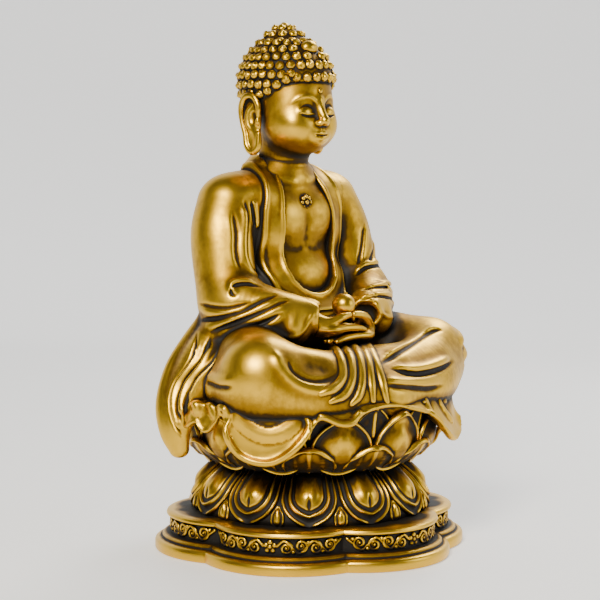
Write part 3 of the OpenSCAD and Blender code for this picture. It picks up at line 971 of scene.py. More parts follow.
def sweep(
    points: Sequence[Sequence[float]], radii: Sequence[float], sides: int, count: int
) -> tuple[Array, Array]:
    """Round bar along a smooth curve with rounded ends, as points and quads.

    Args:
        points: Control points in space.
        radii: Radius at each.
        sides: Even number of sides.
        count: Rings along the bar.

    Returns:
        Points and quads.
    """
    rows = spline(np.column_stack([np.asarray(points, float), np.asarray(radii, float)]), count)
    line, r = rows[:, :3], rows[:, 3]
    way = np.gradient(line, axis=0)
    way /= np.maximum(np.linalg.norm(way, axis=1, keepdims=True), 1e-9)
    ends = [(-0.8, 0.6), (0.8, 0.6)]
    first, last = line[0] + way[0] * r[0] * ends[0][0], line[-1] + way[-1] * r[-1] * ends[1][0]
    line = np.vstack([first, line, last])
    r = np.concatenate([[r[0] * 0.5], r, [r[-1] * 0.5]])
    way = np.vstack([way[0], way, way[-1]])
    up = np.array([0.0, 0.0, 1.0]) if abs(way[0][2]) < 0.9 else np.array([1.0, 0.0, 0.0])
    rings = []
    angle = (np.arange(sides) + 0.5) / sides * 2 * math.pi
    for p, w, size in zip(line, way, r):
        a = np.cross(up, w)
        a /= max(np.linalg.norm(a), 1e-9)
        b = np.cross(w, a)
        up = b
        rings.append(p + size * (np.cos(angle)[:, None] * a + np.sin(angle)[:, None] * b))
    out = np.concatenate(rings)
    faces = grid_faces(len(rings), sides, closed_columns=True)
    j = np.arange(sides // 2 - 1)
    cap = np.stack([j, j + 1, sides - 2 - j, sides - 1 - j], axis=1)
    return out, np.concatenate([faces, cap[:, ::-1], cap + (len(rings) - 1) * sides])


def merged(parts: Sequence[tuple[Array, Array]]) -> tuple[Array, Array]:
    """Several shells as one set of points and faces."""
    points, faces, shift = [], [], 0
    for p, f in parts:
        points.append(p)
        faces.append(f + shift)
        shift += len(p)
    return np.concatenate(points), np.concatenate(faces)


def solid(name: str, parts: Sequence[tuple[Array, Array]], sharp: Optional[float] = None) -> bpy.types.Mesh:
    """Closed mesh of several shells with outward faces."""
    mesh = mesh_from(name, *merged(parts))
    outward(mesh)
    if sharp is not None:
        mesh.set_sharp_from_angle(angle=math.radians(sharp))
    return mesh


def turned(loop: Sequence[Sequence[float]], columns: int = 144) -> tuple[Array, Array]:
    """Closed shell made by turning a closed loop of (radius, height) points round the axis."""
    degrees = np.arange(columns) * 360 / columns
    rings = [polar(r, degrees, z) for r, z in loop]
    return np.concatenate(rings), grid_faces(len(rings), columns, True, True)


def bead(radius: float, sides: int = 10, rows: int = 6) -> tuple[Array, Array]:
    """Small ball at the origin."""
    lean = np.linspace(0.28, math.pi - 0.28, rows)
    angle = (np.arange(sides) + 0.5) / sides * 2 * math.pi
    rings = [
        np.stack([np.sin(t) * np.cos(angle), np.sin(t) * np.sin(angle), np.full(sides, np.cos(t))], axis=1)
        for t in lean
    ]
    points = np.concatenate(rings) * radius
    faces = grid_faces(rows, sides, closed_columns=True)
    j = np.arange(sides // 2 - 1)
    cap = np.stack([j, j + 1, sides - 2 - j, sides - 1 - j], axis=1)
    return points, np.concatenate([faces, cap[:, ::-1], cap + (rows - 1) * sides])


# ---------------------------------------------------------------- throne


@dataclass
class Plinth:
    """Six-lobed stepped plinth with an openwork vine round its band."""

    lobes: int = 6
    offset: float = 25.0
    columns: int = 48
    rod_hole: float = 3.2
    cavity_r: float = 42.0
    recess_r: float = 44.2
    recess_h: float = 2.4
    cavity_top: float = 11.4
    wall_profile: tuple[tuple[float, float], ...] = (
        (57.5, 0.0), (58.2, 0.25), (58.5, 0.9), (58.5, 3.1), (58.2, 3.8), (57.6, 4.25), (56.6, 4.55),
        (55.9, 4.6), (55.8, 4.9), (55.7, 5.5), (55.2, 6.0), (54.2, 6.25), (52.5, 6.35), (52.15, 6.6),
        (52.1, 9.2), (52.1, 11.9), (52.4, 12.3), (53.3, 12.45), (54.0, 12.8), (54.2, 13.4), (53.9, 14.1),
        (53.2, 14.5), (52.2, 14.6), (44.0, 14.6),
    )
    boss_ring: float = 39.0
    scroll_bar: float = 0.55

    def lobed(self, radius: float, z: float) -> Array:
        """One ring of the lobed outline."""
        step = 360 / self.lobes
        degrees = np.arange(self.lobes * self.columns) * step / self.columns
        phi = np.radians((degrees + step / 2) % step - step / 2)
        r = self.offset * np.cos(phi) + np.sqrt(
            (radius - self.offset) ** 2 - (self.offset * np.sin(phi)) ** 2
        )
        return polar(r, degrees, z)

    def round(self, radius: float, z: float) -> Array:
        """One round ring."""
        degrees = np.arange(self.lobes * self.columns) * 360 / (self.lobes * self.columns)
        return polar(radius, degrees, z)

    def body(self) -> bpy.types.Object:
        """The plinth casting."""
        rings = [self.lobed(r, z) for r, z in self.wall_profile]
        inner = [
            (self.rod_hole, 14.6), (self.rod_hole, self.cavity_top), (self.cavity_r, self.cavity_top),
            (self.cavity_r, self.recess_h), (self.recess_r, self.recess_h), (self.recess_r, 0.0),
        ]
        rings += [self.round(r, z) for r, z in inner]
        columns = self.lobes * self.columns
        parts = [(np.concatenate(rings), grid_faces(len(rings), columns, True, True))]
        for k in range(4):
            a = math.radians(45 + 90 * k)
            x, y = self.boss_ring * math.cos(a), self.boss_ring * math.sin(a)
            parts.append(sweep([(x, y, 3.2), (x, y, self.cavity_top + 0.3)], (3, 3), 20, 4))
        return piece(solid("plinth_body", parts, 32), PLINTH, "aged_brass", "plinth")

    def vine(self, repeats: Repeats) -> bpy.types.Object:
        """Openwork of flowers and scrolls, one panel to a lobe."""
        wall, middle = 27.25, 9.35

        def on_wall(s: Array, t: Array, lift: float) -> Array:
            """Point of the flat drawing on the lobe's wall."""
            a = np.asarray(s, float) / wall
            r = wall + lift
            return np.stack(
                [r * np.sin(a), -self.offset - r * np.cos(a), middle + np.asarray(t, float)], axis=-1
            )

        parts = []
        bar = self.scroll_bar
        parts.append(tuple([bead(1.0)[0] * (0.95, 0.7, 0.95) + on_wall(0.0, 0.0, 0.3), bead(1.0)[1]]))
        for k in range(5):
            a = math.pi / 2 + 2 * math.pi * k / 5
            centre = on_wall(1.55 * math.cos(a), 1.55 * math.sin(a), 0.2)
            parts.append((bead(1.0)[0] * (1.0, 0.6, 1.0) + centre, bead(1.0)[1]))
        for side in (-1, 1):
            stem_s = np.array([2.4, 5.0, 7.6, 10.2, 12.8, 15.4, 18.0, 20.6, 23.2, 25.8])
            stem_t = np.array([0.2, 2.2, 0.0, -2.2, 0.0, 2.2, 0.0, -2.2, -0.2, 1.8])
            parts.append(sweep(on_wall(side * stem_s, stem_t, 0.25), [bar] * 10, 6, 44))
            for n, s0 in enumerate((5.2, 10.4, 15.6, 20.8)):
                flip = 1 if n % 2 == 0 else -1
                turn = np.linspace(0, 2.9 * math.pi, 15)
                r = 2.0 * (1 - 0.27 * turn / math.pi) + 0.25
                s = s0 + 0.5 + r * np.sin(turn)
                t = flip * (0.35 - r * np.cos(turn) * -1.0) - flip * 0.75
                t = np.clip(t, -2.45, 2.45)
                width = np.linspace(bar, bar * 0.8, 15)
                parts.append(sweep(on_wall(side * s, t, 0.3), width, 6, 34))
                eye = on_wall(side * (s0 + 0.5), flip * -0.4, 0.35)
                parts.append((bead(0.55)[0] + eye, bead(0.55)[1]))
                leaf = np.array([[s0 + 2.3, flip * -1.1], [s0 + 3.0, flip * -1.7], [s0 + 3.5, flip * -2.3]])
                parts.append(sweep(on_wall(side * leaf[:, 0], leaf[:, 1], 0.25), (0.4, 0.85, 0.3), 6, 7))
        mesh = repeats.ring("vine_scrolls", solid("vine_panel", parts), self.lobes, RELIEF)
        return piece(mesh, RELIEF, "worn_brass", "frieze_scrolls")

    def build(self, repeats: Repeats) -> list[bpy.types.Object]:
        """Make the plinth's pieces."""
        return [self.body(), self.vine(repeats)]


@dataclass
class LowerLotus:
    """Bell of hanging petals under the waist collar."""

    petals: int = 12
    half: float = 10.7
    bell: tuple[tuple[float, float], ...] = (
        (42.6, 14.5), (43.1, 16.5), (42.0, 20.0), (38.9, 24.5), (34.9, 28.2), (31.4, 30.6),
    )

    def ground(self) -> bpy.types.Object:
        """The bell behind the petals, with its tie-rod hole."""
        profile = spline(self.bell, 30)
        inner = [
            (31.4, 30.9), (3.2, 30.9), (3.2, 28.4), (29.0, 28.2), (36.4, 22.6), (40.0, 17.0), (40.0, 14.5)
        ]
        mesh = solid("bell_ground", [turned(np.vstack([profile, inner]))], 40)
        return piece(mesh, GROUND, "dark_brass", "lower_lotus")

    def relief(self, repeats: Repeats) -> bpy.types.Object:
        """Petals with a beaded border, an inner border and a twin-lobed boss, and the small tips between."""
        profile = Profile(self.bell, 42.4)

        def height(s: Array, l: Array, e: Array) -> Array:
            """Relief of one petal."""
            outer = 1.2 * bell_curve(e - 0.7, 0.55)
            inner = 1.1 * bell_curve(e - 3.5, 0.5)
            swell = 0.5 + 0.75 * ramp(e, 1.0, 3.4)
            rise = ramp(e, 4.9, 5.7)
            split = 1 - 0.6 * bell_curve(s, 0.7) * (1 - ramp(l, 7.5, 10.0))
            dome = (0.8 + 1.7 * ramp(e, 5.0, 9.2)) * split * (1 - 0.5 * ramp(l, 17.0, 21.0))
            return np.where(e <= 0, 0.1, swell * ramp(e, -0.01, 0.25) + outer + inner + rise * dome)

        insets = [
            0.0, 0.12, 0.3, 0.5, 0.7, 0.9, 1.15, 1.5, 2.0, 2.6, 2.95, 3.25, 3.5, 3.75, 4.1, 4.6, 4.95, 5.25,
            5.6, 6.0, 6.6, 7.4, 8.4, 9.5, 10.3
        ]
        outline, spine = tongue(self.half, 0.6, 22.2, 92, 0.0, 0.3, 0.1)
        petal = shield(outline, spine, insets, height, lambda s, l, h: profile.place(s, l, h, 15.0), 0.8)

        def tip_height(s: Array, l: Array, e: Array) -> Array:
            """Relief of a small tip."""
            return 0.2 + 1.0 * ramp(e, 0.0, 0.5) - 0.35 * bell_curve(e - 1.0, 0.35) + 0.5 * ramp(e, 1.1, 2.2)

        outline, spine = tongue(2.6, -0.4, 6.2, 40, 1.4)
        tip = shield(outline, spine, [0, 0.15, 0.4, 0.7, 1.0, 1.35, 1.8, 2.3], tip_height, profile.place, 0.8)
        mesh = repeats.ring("hanging_petals", solid("hanging_petal", [petal, tip]), self.petals, RELIEF)
        return piece(mesh, RELIEF, "worn_brass", "lower_petals")

    def build(self, repeats: Repeats) -> list[bpy.types.Object]:
        """Make the lower lotus."""
        return [self.ground(), self.relief(repeats)]


@dataclass
class UpperLotus:
    """Collar, bowl, sepals, two rows of petals and the ring of stamens round the seat."""

    petals: int = 12
    stamens: int = 150
    bowl: tuple[tuple[float, float], ...] = (
        (29.0, 33.0), (35.6, 34.2), (39.9, 37.8), (42.3, 43.0), (43.6, 49.0), (44.0, 56.2), (43.6, 57.0),
    )

    def ground(self) -> list[bpy.types.Object]:
        """Waist collar and the bowl."""
        profile = spline(self.bowl[:-1], 30)
        inner = [
            (43.4, 57.0), (3.2, 57.0), (3.2, 54.0), (40.0, 54.0), (40.0, 49.0), (38.6, 43.5), (35.6, 39.0),
            (31, 36.8), (3.2, 36.4), (3.2, 33.0)
        ]
        bowl = solid("lotus_bowl_ground", [turned(np.vstack([profile, inner]))], 40)
        collar = [
            (3.2, 30.6), (31.4, 30.6), (32.2, 30.8), (32.6, 31.3), (32.6, 31.7), (32.2, 32.2), (31.6, 32.6),
            (31.4, 33.0), (3.2, 33.0)
        ]
        waist = solid("waist_ring", [turned(collar)], 50)
        return [
            piece(bowl, GROUND, "dark_brass", "lotus_bowl"),
            piece(waist, GROUND, "dark_brass", "waist_collar"),
        ]

    def calyx(self, repeats: Repeats) -> bpy.types.Object:
        """Sepals that flare under the petals."""
        profile = Profile([(31.6, 33.3), (36.6, 34.0), (40.8, 36.0), (44.2, 38.6), (46.9, 41.6)], 41.0)

        def height(s: Array, l: Array, e: Array) -> Array:
            """Relief of one sepal with a waved rim and veins."""
            wave = 0.28 * np.sin(l * 1.25) * (1 - ramp(e, 0.4, 2.4))
            rim = 0.75 * bell_curve(e - 0.55, 0.5)
            vein = 0.5 * bell_curve(s, 0.55) + 0.22 * bell_curve(np.abs(s) - 4.6, 0.5)
            return np.where(e <= 0, 0.0, 0.5 + rim + wave + vein + 0.5 * ramp(e, 1.0, 5.0))

        outline, spine = tongue(9.6, -1.5, 19.4, 76, 1.2)
        insets = [0.0, 0.15, 0.35, 0.55, 0.8, 1.1, 1.6, 2.4, 3.4, 4.6, 6.0, 7.6, 9.0]
        sepal = shield(outline, spine, insets, height, lambda s, l, h: profile.place(s, l, h, 15.0), 0.7)
        mesh = repeats.ring("sepal_ring", solid("sepal", [sepal]), self.petals, PLINTH)
        return piece(mesh, PLINTH, "aged_brass", "sepals")

    def front(self, repeats: Repeats) -> bpy.types.Object:
        """Outer row: broad cupped petals whose tips turn out."""
        profile = Profile(
            [(41.2, 37.4), (43.6, 40.4), (45.0, 44.0), (45.7, 48.0), (46.5, 51.2), (48.0, 53.6)], 45.0
        )

        def height(s: Array, l: Array, e: Array) -> Array:
            """Relief of an outer petal."""
            rim = 0.95 * bell_curve(e - 0.55, 0.55)
            cup = 2.3 * ramp(e, 1.0, 9.5) * (1 - 0.35 * ramp(l, 9.0, 15.0))
            return np.where(e <= 0, 0.0, 0.4 + rim + cup)

        outline, spine = tongue(11.4, -6.0, 16.4, 88, 2.6)
        insets = [0.0, 0.12, 0.3, 0.5, 0.7, 0.95, 1.25, 1.6, 2.1, 2.8, 3.6, 4.6, 5.8, 7.2, 8.8, 10.4]
        petal = shield(outline, spine, insets, height, profile.place, 1.0)
        mesh = repeats.ring("front_petal_row", solid("front_petal", [petal]), self.petals, RELIEF)
        return piece(mesh, RELIEF, "worn_brass", "front_petals")

    def back(self, repeats: Repeats) -> bpy.types.Object:
        """Inner row: taller petals seen between the outer ones, each with a raised midrib."""
        profile = Profile([(42.2, 42.5), (43.9, 46.5), (44.7, 50.5), (45.4, 54.0), (46.4, 56.6)], 45.0)

        def height(s: Array, l: Array, e: Array) -> Array:
            """Relief of an inner petal."""
            rim = 0.7 * bell_curve(e - 0.6, 0.5)
            rib = 0.95 * bell_curve(s, 0.9) * ramp(l, 2.0, 5.0)
            return np.where(e <= 0, 0.0, 0.35 + rim + rib + 0.35 * ramp(e, 1.2, 4.0))

        outline, spine = tongue(7.4, -1.6, 14.4, 64, 1.5)
        insets = [0.0, 0.12, 0.3, 0.5, 0.7, 0.95, 1.3, 1.8, 2.6, 3.6, 4.8, 6.2, 7.0]
        petal = shield(outline, spine, insets, height, lambda s, l, h: profile.place(s, l, h, 15.0), 1.0)
        mesh = repeats.ring("back_petal_row", solid("back_petal", [petal]), self.petals, RELIEF)
        return piece(mesh, RELIEF, "worn_brass", "back_petals")

    def beads(self, repeats: Repeats) -> bpy.types.Object:
        """Stamens: a string of beads round the seat."""
        points, faces = bead(0.86)
        mesh = repeats.ring(
            "stamen_beads", solid("stamen", [(points + (0, -43.5, 57.7), faces)]), self.stamens, RELIEF
        )
        return piece(mesh, RELIEF, "worn_brass", "stamen_ring")

    def build(self, repeats: Repeats) -> list[bpy.types.Object]:
        """Make the upper lotus."""
        return [
            *self.ground(), self.calyx(repeats), self.front(repeats), self.back(repeats), self.beads(repeats)
        ]


# ---------------------------------------------------------------- figure


QUARTER = -44.5


def sided(points: Sequence[Sequence[float]], side: int) -> Array:
    """Points given for the figure's left, or their mirror image for its right (side -1)."""
    return np.asarray(points, float) * np.array([side, 1.0, 1.0])


@dataclass
class Legs:
    """Folded legs under the robe, the fans of pleats between them and the folds that run over the thighs."""

    voxel: float = 0.55
    low: tuple[float, float, float] = (-61, -49, 48)
    high: tuple[float, float, float] = (61, 27, 92)

    def clay(self) -> Clay:
        """Sculpt the legs."""
        c = Clay(self.low, self.high, self.voxel)
        for s in (-1, 1):
            c.tube(sided([(12, 12, 72), (32, -4, 71.5), (43, -19, 69.5)], s), (15, 14.4, 13.0), 3)
            c.tube(sided([(43, -20, 69), (30, -27.5, 66.5), (12, -31, 65)], s), (12.8, 11.6, 10.0), 5)
            c.ball(sided([(45, -19, 69)], s)[0], (12.6, 12.6, 12.4), 3)
            c.tube(
                sided([(49, -6, 63), (44, -21, 61.5), (31, -33, 60), (14, -37.5, 59), (0, -38, 59)], s),
                (6, 8, 8, 7.6, 7.4), 9
            )
        c.ball((0, -26, 65.2), (22.5, 12.4, 10.6), 7)
        c.ball((0, 8, 70), (32, 17, 14), 4)
        self.folds(c)
        x, y, z = c.whole()
        rho = np.sqrt(x * x + y * y) + 0 * z
        floor = np.where(rho > 46.0, 50.8, 50.8 + 6.3 * (1 - ramp(rho, 43.6, 46.0)))
        c.field = -join(-c.field, (z - floor) * 0.9, 0.8)
        return c

    def folds(self, c: Clay) -> None:
        """Press the folds that run over the thighs and shins."""
        for line, depth in (
            (((26, 67), (35, 73), (45, 79.5), (49.5, 80)), 1.5),
            (((29.5, 65.5), (39, 63.5), (48.5, 65.5), (54, 69.0)), 1.5),
            (((27.5, 59.5), (36, 58.6), (44, 58.0), (51, 59.5)), 1.1),
        ):
            c.crease(c.seen(QUARTER, line), depth, 1.25)
        dish = c.seen(QUARTER, ((1.0, 67.0), (2.6, 66.8), (4.2, 66.6)))
        c.stroke(dish, -1.5, 6.0, Fold.ROUND, (0, 0))
        c.stroke(
            c.seen(QUARTER, ((-13.5, 73), (-10.8, 66), (-4, 59.4), (6, 57.3), (13, 60))), 1.5, 2.4,
            Fold.ROUND, (0.15, 0.25)
        )
        c.stroke(
            c.seen(QUARTER, ((-8.5, 70), (-6.5, 64.5), (-1, 61.2), (6, 61.2), (11, 65))), -0.8, 1.3,
            Fold.ROUND, (0.2, 0.3)
        )
        c.crease(c.seen(QUARTER, ((-40, 61), (-34, 58.5), (-28, 58.5))), 0.8, 1.2)
        for line in (
            ((12, 63), (24, 69), (36, 76)), ((13, 58), (27, 60), (42, 64)), ((20, 55.5), (32, 55), (44, 58))
        ):
            c.crease(c.seen(44.5, line), 1.2, 1.3)

    def fans(self, legs: Clay) -> Clay:
        """Pleats that fall from the lap over the crossed shins."""
        c = Clay((-44, -52, 47), (12, -2, 84), 0.4)
        lines = (
            ((6.5, 75), (9.5, 72.5), (11.5, 68.5), (12, 62.5), (9, 58.5), (4, 56)),
            ((9.5, 76), (13, 73), (15.2, 68.5), (15.4, 61.5), (13, 56), (7.5, 53.0)),
            ((11.5, 77.5), (16, 74), (18.4, 69), (19.2, 61), (18.0, 55.5), (15.5, 52.3)),
            ((15.5, 77), (19, 74), (21.3, 69), (22.6, 61), (23.5, 53.5)),
            ((18.5, 76.5), (21.8, 73.5), (24.4, 68), (26.6, 61), (28.6, 53)),
        )
        for line in lines:
            path = legs.seen(QUARTER, line, 1.6)
            inward = -legs.gradient(path)
            size = np.interp(np.linspace(0, 1, len(path)), (0, 0.25, 0.8, 1), (1.3, 1.9, 1.9, 1.3))
            c.tube(path + inward * 0.45, size, 0.9)
        return c

    def build(self) -> list[bpy.types.Object]:
        """Make the legs and the pleats."""
        clay = self.clay()
        legs = piece(sculpted("thighs_and_shins", clay), ROBE, "robe_brass", "folded_legs")
        fans = piece(sculpted("lap_pleats", self.fans(clay)), ROBE, "robe_brass", "front_pleats")
        return [legs, fans]


@dataclass
class Hem:
    """Robe edge that hangs over the lotus in scallops."""

    voxel: float = 0.56
    thickness: float = 2.4
    top: tuple[tuple[float, float], ...] = (
        (0, 43.5), (30, 47.5), (50, 51.5), (62, 54.8), (75, 57), (90, 56.5), (120, 53.5), (150, 49.5),
        (180, 48.5),
    )
    foot: tuple[tuple[float, float], ...] = (
        (0, 50.2), (30, 52.2), (45, 53.4), (55, 54.0), (66, 55.6), (75, 57.8), (90, 57.8), (105, 56.5),
        (120, 54.5), (180, 50.6),
    )
    edge: tuple[tuple[float, float], ...] = (
        (0, 43), (50, 44), (66, 41.5), (78, 44), (90, 46.5), (110, 46), (140, 43), (160, 42), (180, 45),
    )

    def look_up(self, table: Sequence[tuple[float, float]], degrees: Array) -> Array:
        """Value of a table at an angle either side of the front."""
        t = np.asarray(table, float)
        return np.interp(np.abs(degrees), t[:, 0], t[:, 1])

    def sheet(self, degrees: Array, rho: Array, z: Array, edge: Array) -> Array:
        """Distance field of the hanging sheet down to an edge."""
        top, foot = self.look_up(self.top, degrees), self.look_up(self.foot, degrees)
        t = np.clip((60.0 - z) / 18.0, 0, 1)
        outer = top + (foot - top) * ramp(t, 0.0, 0.9) + self.thickness / 2
        roll = 0.75 * bell_curve(z - edge - 0.9, 0.8)
        flare = 1.6 * bell_curve(z - edge, 3.5) * (1 - ramp(np.abs(degrees), 48, 70))
        wave = 0.9 * np.sin(np.radians(degrees) * 23) * ramp(np.abs(degrees), 60, 80)
        deep = 1.9 + 3.0 * ramp(z - edge, 0.5, 6.0)
        outer = outer + wave + flare + roll
        wall = np.maximum(rho - outer, outer - deep - 2 * roll - rho)
        body = -join(-wall, 59.0 - z, 1.0)
        return -join(-body, z - edge, 1.2)

    def clay(self) -> Clay:
        """Sculpt the hem."""
        c = Clay((-62, -57, 24), (62, 57, 72), self.voxel)
        x, y, z = c.whole()
        degrees = np.degrees(np.arctan2(x, -y)).astype(np.float32) + 0 * z
        rho = np.sqrt(x * x + y * y) + 0 * z
        c.field = self.sheet(degrees, rho, z, np.full_like(degrees, 25.5)).astype(np.float32)
        drawn = [
            (-53.5, 46), (-46.5, 43), (-43, 45.6), (-41.5, 42), (-38.5, 41), (-35.5, 44.5), (-33.5, 47.5),
            (-31, 48.6), (-30, 44.5), (-33, 41.5), (-30.5, 36.5), (-27, 31.5), (-21.5, 29), (-15, 28.4),
            (-9, 31), (-3.5, 35.5), (0.5, 41.5), (3, 45.6), (5, 46), (11, 43.5), (16, 44), (19, 48),
            (25, 50.5), (30.5, 51), (35, 50.5), (45.5, 47.5), (50, 41.5), (53, 38.5), (55.5, 44.5),
            (57.5, 47.5),
        ]
        found = c.seen(QUARTER, drawn, 0.6)
        angle = np.degrees(np.arctan2(found[:, 0], -found[:, 1]))
        order = np.argsort(angle)
        angle, height = angle[order], found[order, 2]
        flat = np.linspace(-180, 180, 1441)
        level = self.look_up(self.edge, flat) + 2.0 * np.cos(np.radians(flat) * 15)
        known = (flat > angle[0]) & (flat < angle[-1])
        drawn_level = np.interp(flat, angle, height)
        level = np.where(known, drawn_level, level)
        for _ in range(3):
            level = np.convolve(np.pad(level, 3, mode="wrap"), np.ones(7) / 7, mode="valid")
        edge = np.interp(degrees, flat, level)
        c.field = self.sheet(degrees, rho, z, edge).astype(np.float32)
        train = Clay(c.low, c.low + c.voxel * (c.count - 1), self.voxel)
        train.ball((0, 18, 51), (45, 31, 16.5), 1)
        train.field = -join(-train.field, z - 51.0 + 0 * rho, 0.6)
        c.field = join(c.field, train.field, 4.0)
        self.folds(c)
        return c

    def folds(self, c: Clay) -> None:
        """Press folds into the hanging cloth."""
        for line, height, width in (
            (((-28.5, 50), (-25, 44.5), (-19, 40.8), (-13, 40.4), (-8, 43), (-4, 47.5)), 0.9, 3.0),
            (((1.5, 50), (6, 48.4), (11, 47.6), (16, 49.6)), 0.8, 1.8),
        ):
            c.stroke(c.seen(QUARTER, line), height, width, Fold.CREST, (0.12, 0.12))
        for line in (
            (
                (-31.5, 50), (-30.2, 46.5), (-31.6, 43.2), (-31.0, 39.0), (-27.5, 33.6), (-21.5, 30.4),
                (-15, 29.8), (-9.5, 32.2), (-4.6, 36.6), (-0.8, 41.8), (-0.6, 45.6), (-3.2, 48.4)
            ),
            ((2.4, 47.6), (5.5, 47.2), (11, 44.9), (15.5, 45.4), (18.2, 49)),
        ):
            path = c.seen(QUARTER, line, 1.6)
            c.tube(path, np.full(len(path), 1.15), 0.7)
        for line in (((-33.2, 50), (-33.6, 45.5), (-33.8, 41)), ((2.4, 49.0), (1.6, 44.5), (1.0, 42.0))):
            c.stroke(c.seen(QUARTER, line), -1.3, 1.1, Fold.ROUND, (0.1, 0.3))
        uprights = (
            ((-47, 60), (-46, 45)), ((-42, 60), (-42, 47)), ((-37, 56), (-36, 47)), ((42, 56), (50, 44)),
            ((47, 57), (54, 45))
        )
        for start, end in uprights:
            path = c.seen(QUARTER, [start, ((start[0] + end[0]) / 2 - 0.8, (start[1] + end[1]) / 2), end])
            c.stroke(path, 1.1, 1.5, Fold.CREST, (0.2, 0.15))
        for view in (45, 90, 135, 180, -135, -90):
            for k in range(-1, 2):
                across = k * 12.5 + 2.0
                line = [(across * 0.85, 63), (across - 1.0, 55), (across + 1.2, 46)]
                c.stroke(c.seen(view, line), 1.2, 2.3, Fold.CREST, (0.4, 0.15))

    def build(self) -> list[bpy.types.Object]:
        """Make the hem."""
        return [piece(sculpted("hanging_hem", self.clay()), ROBE, "robe_brass", "robe_hem")]


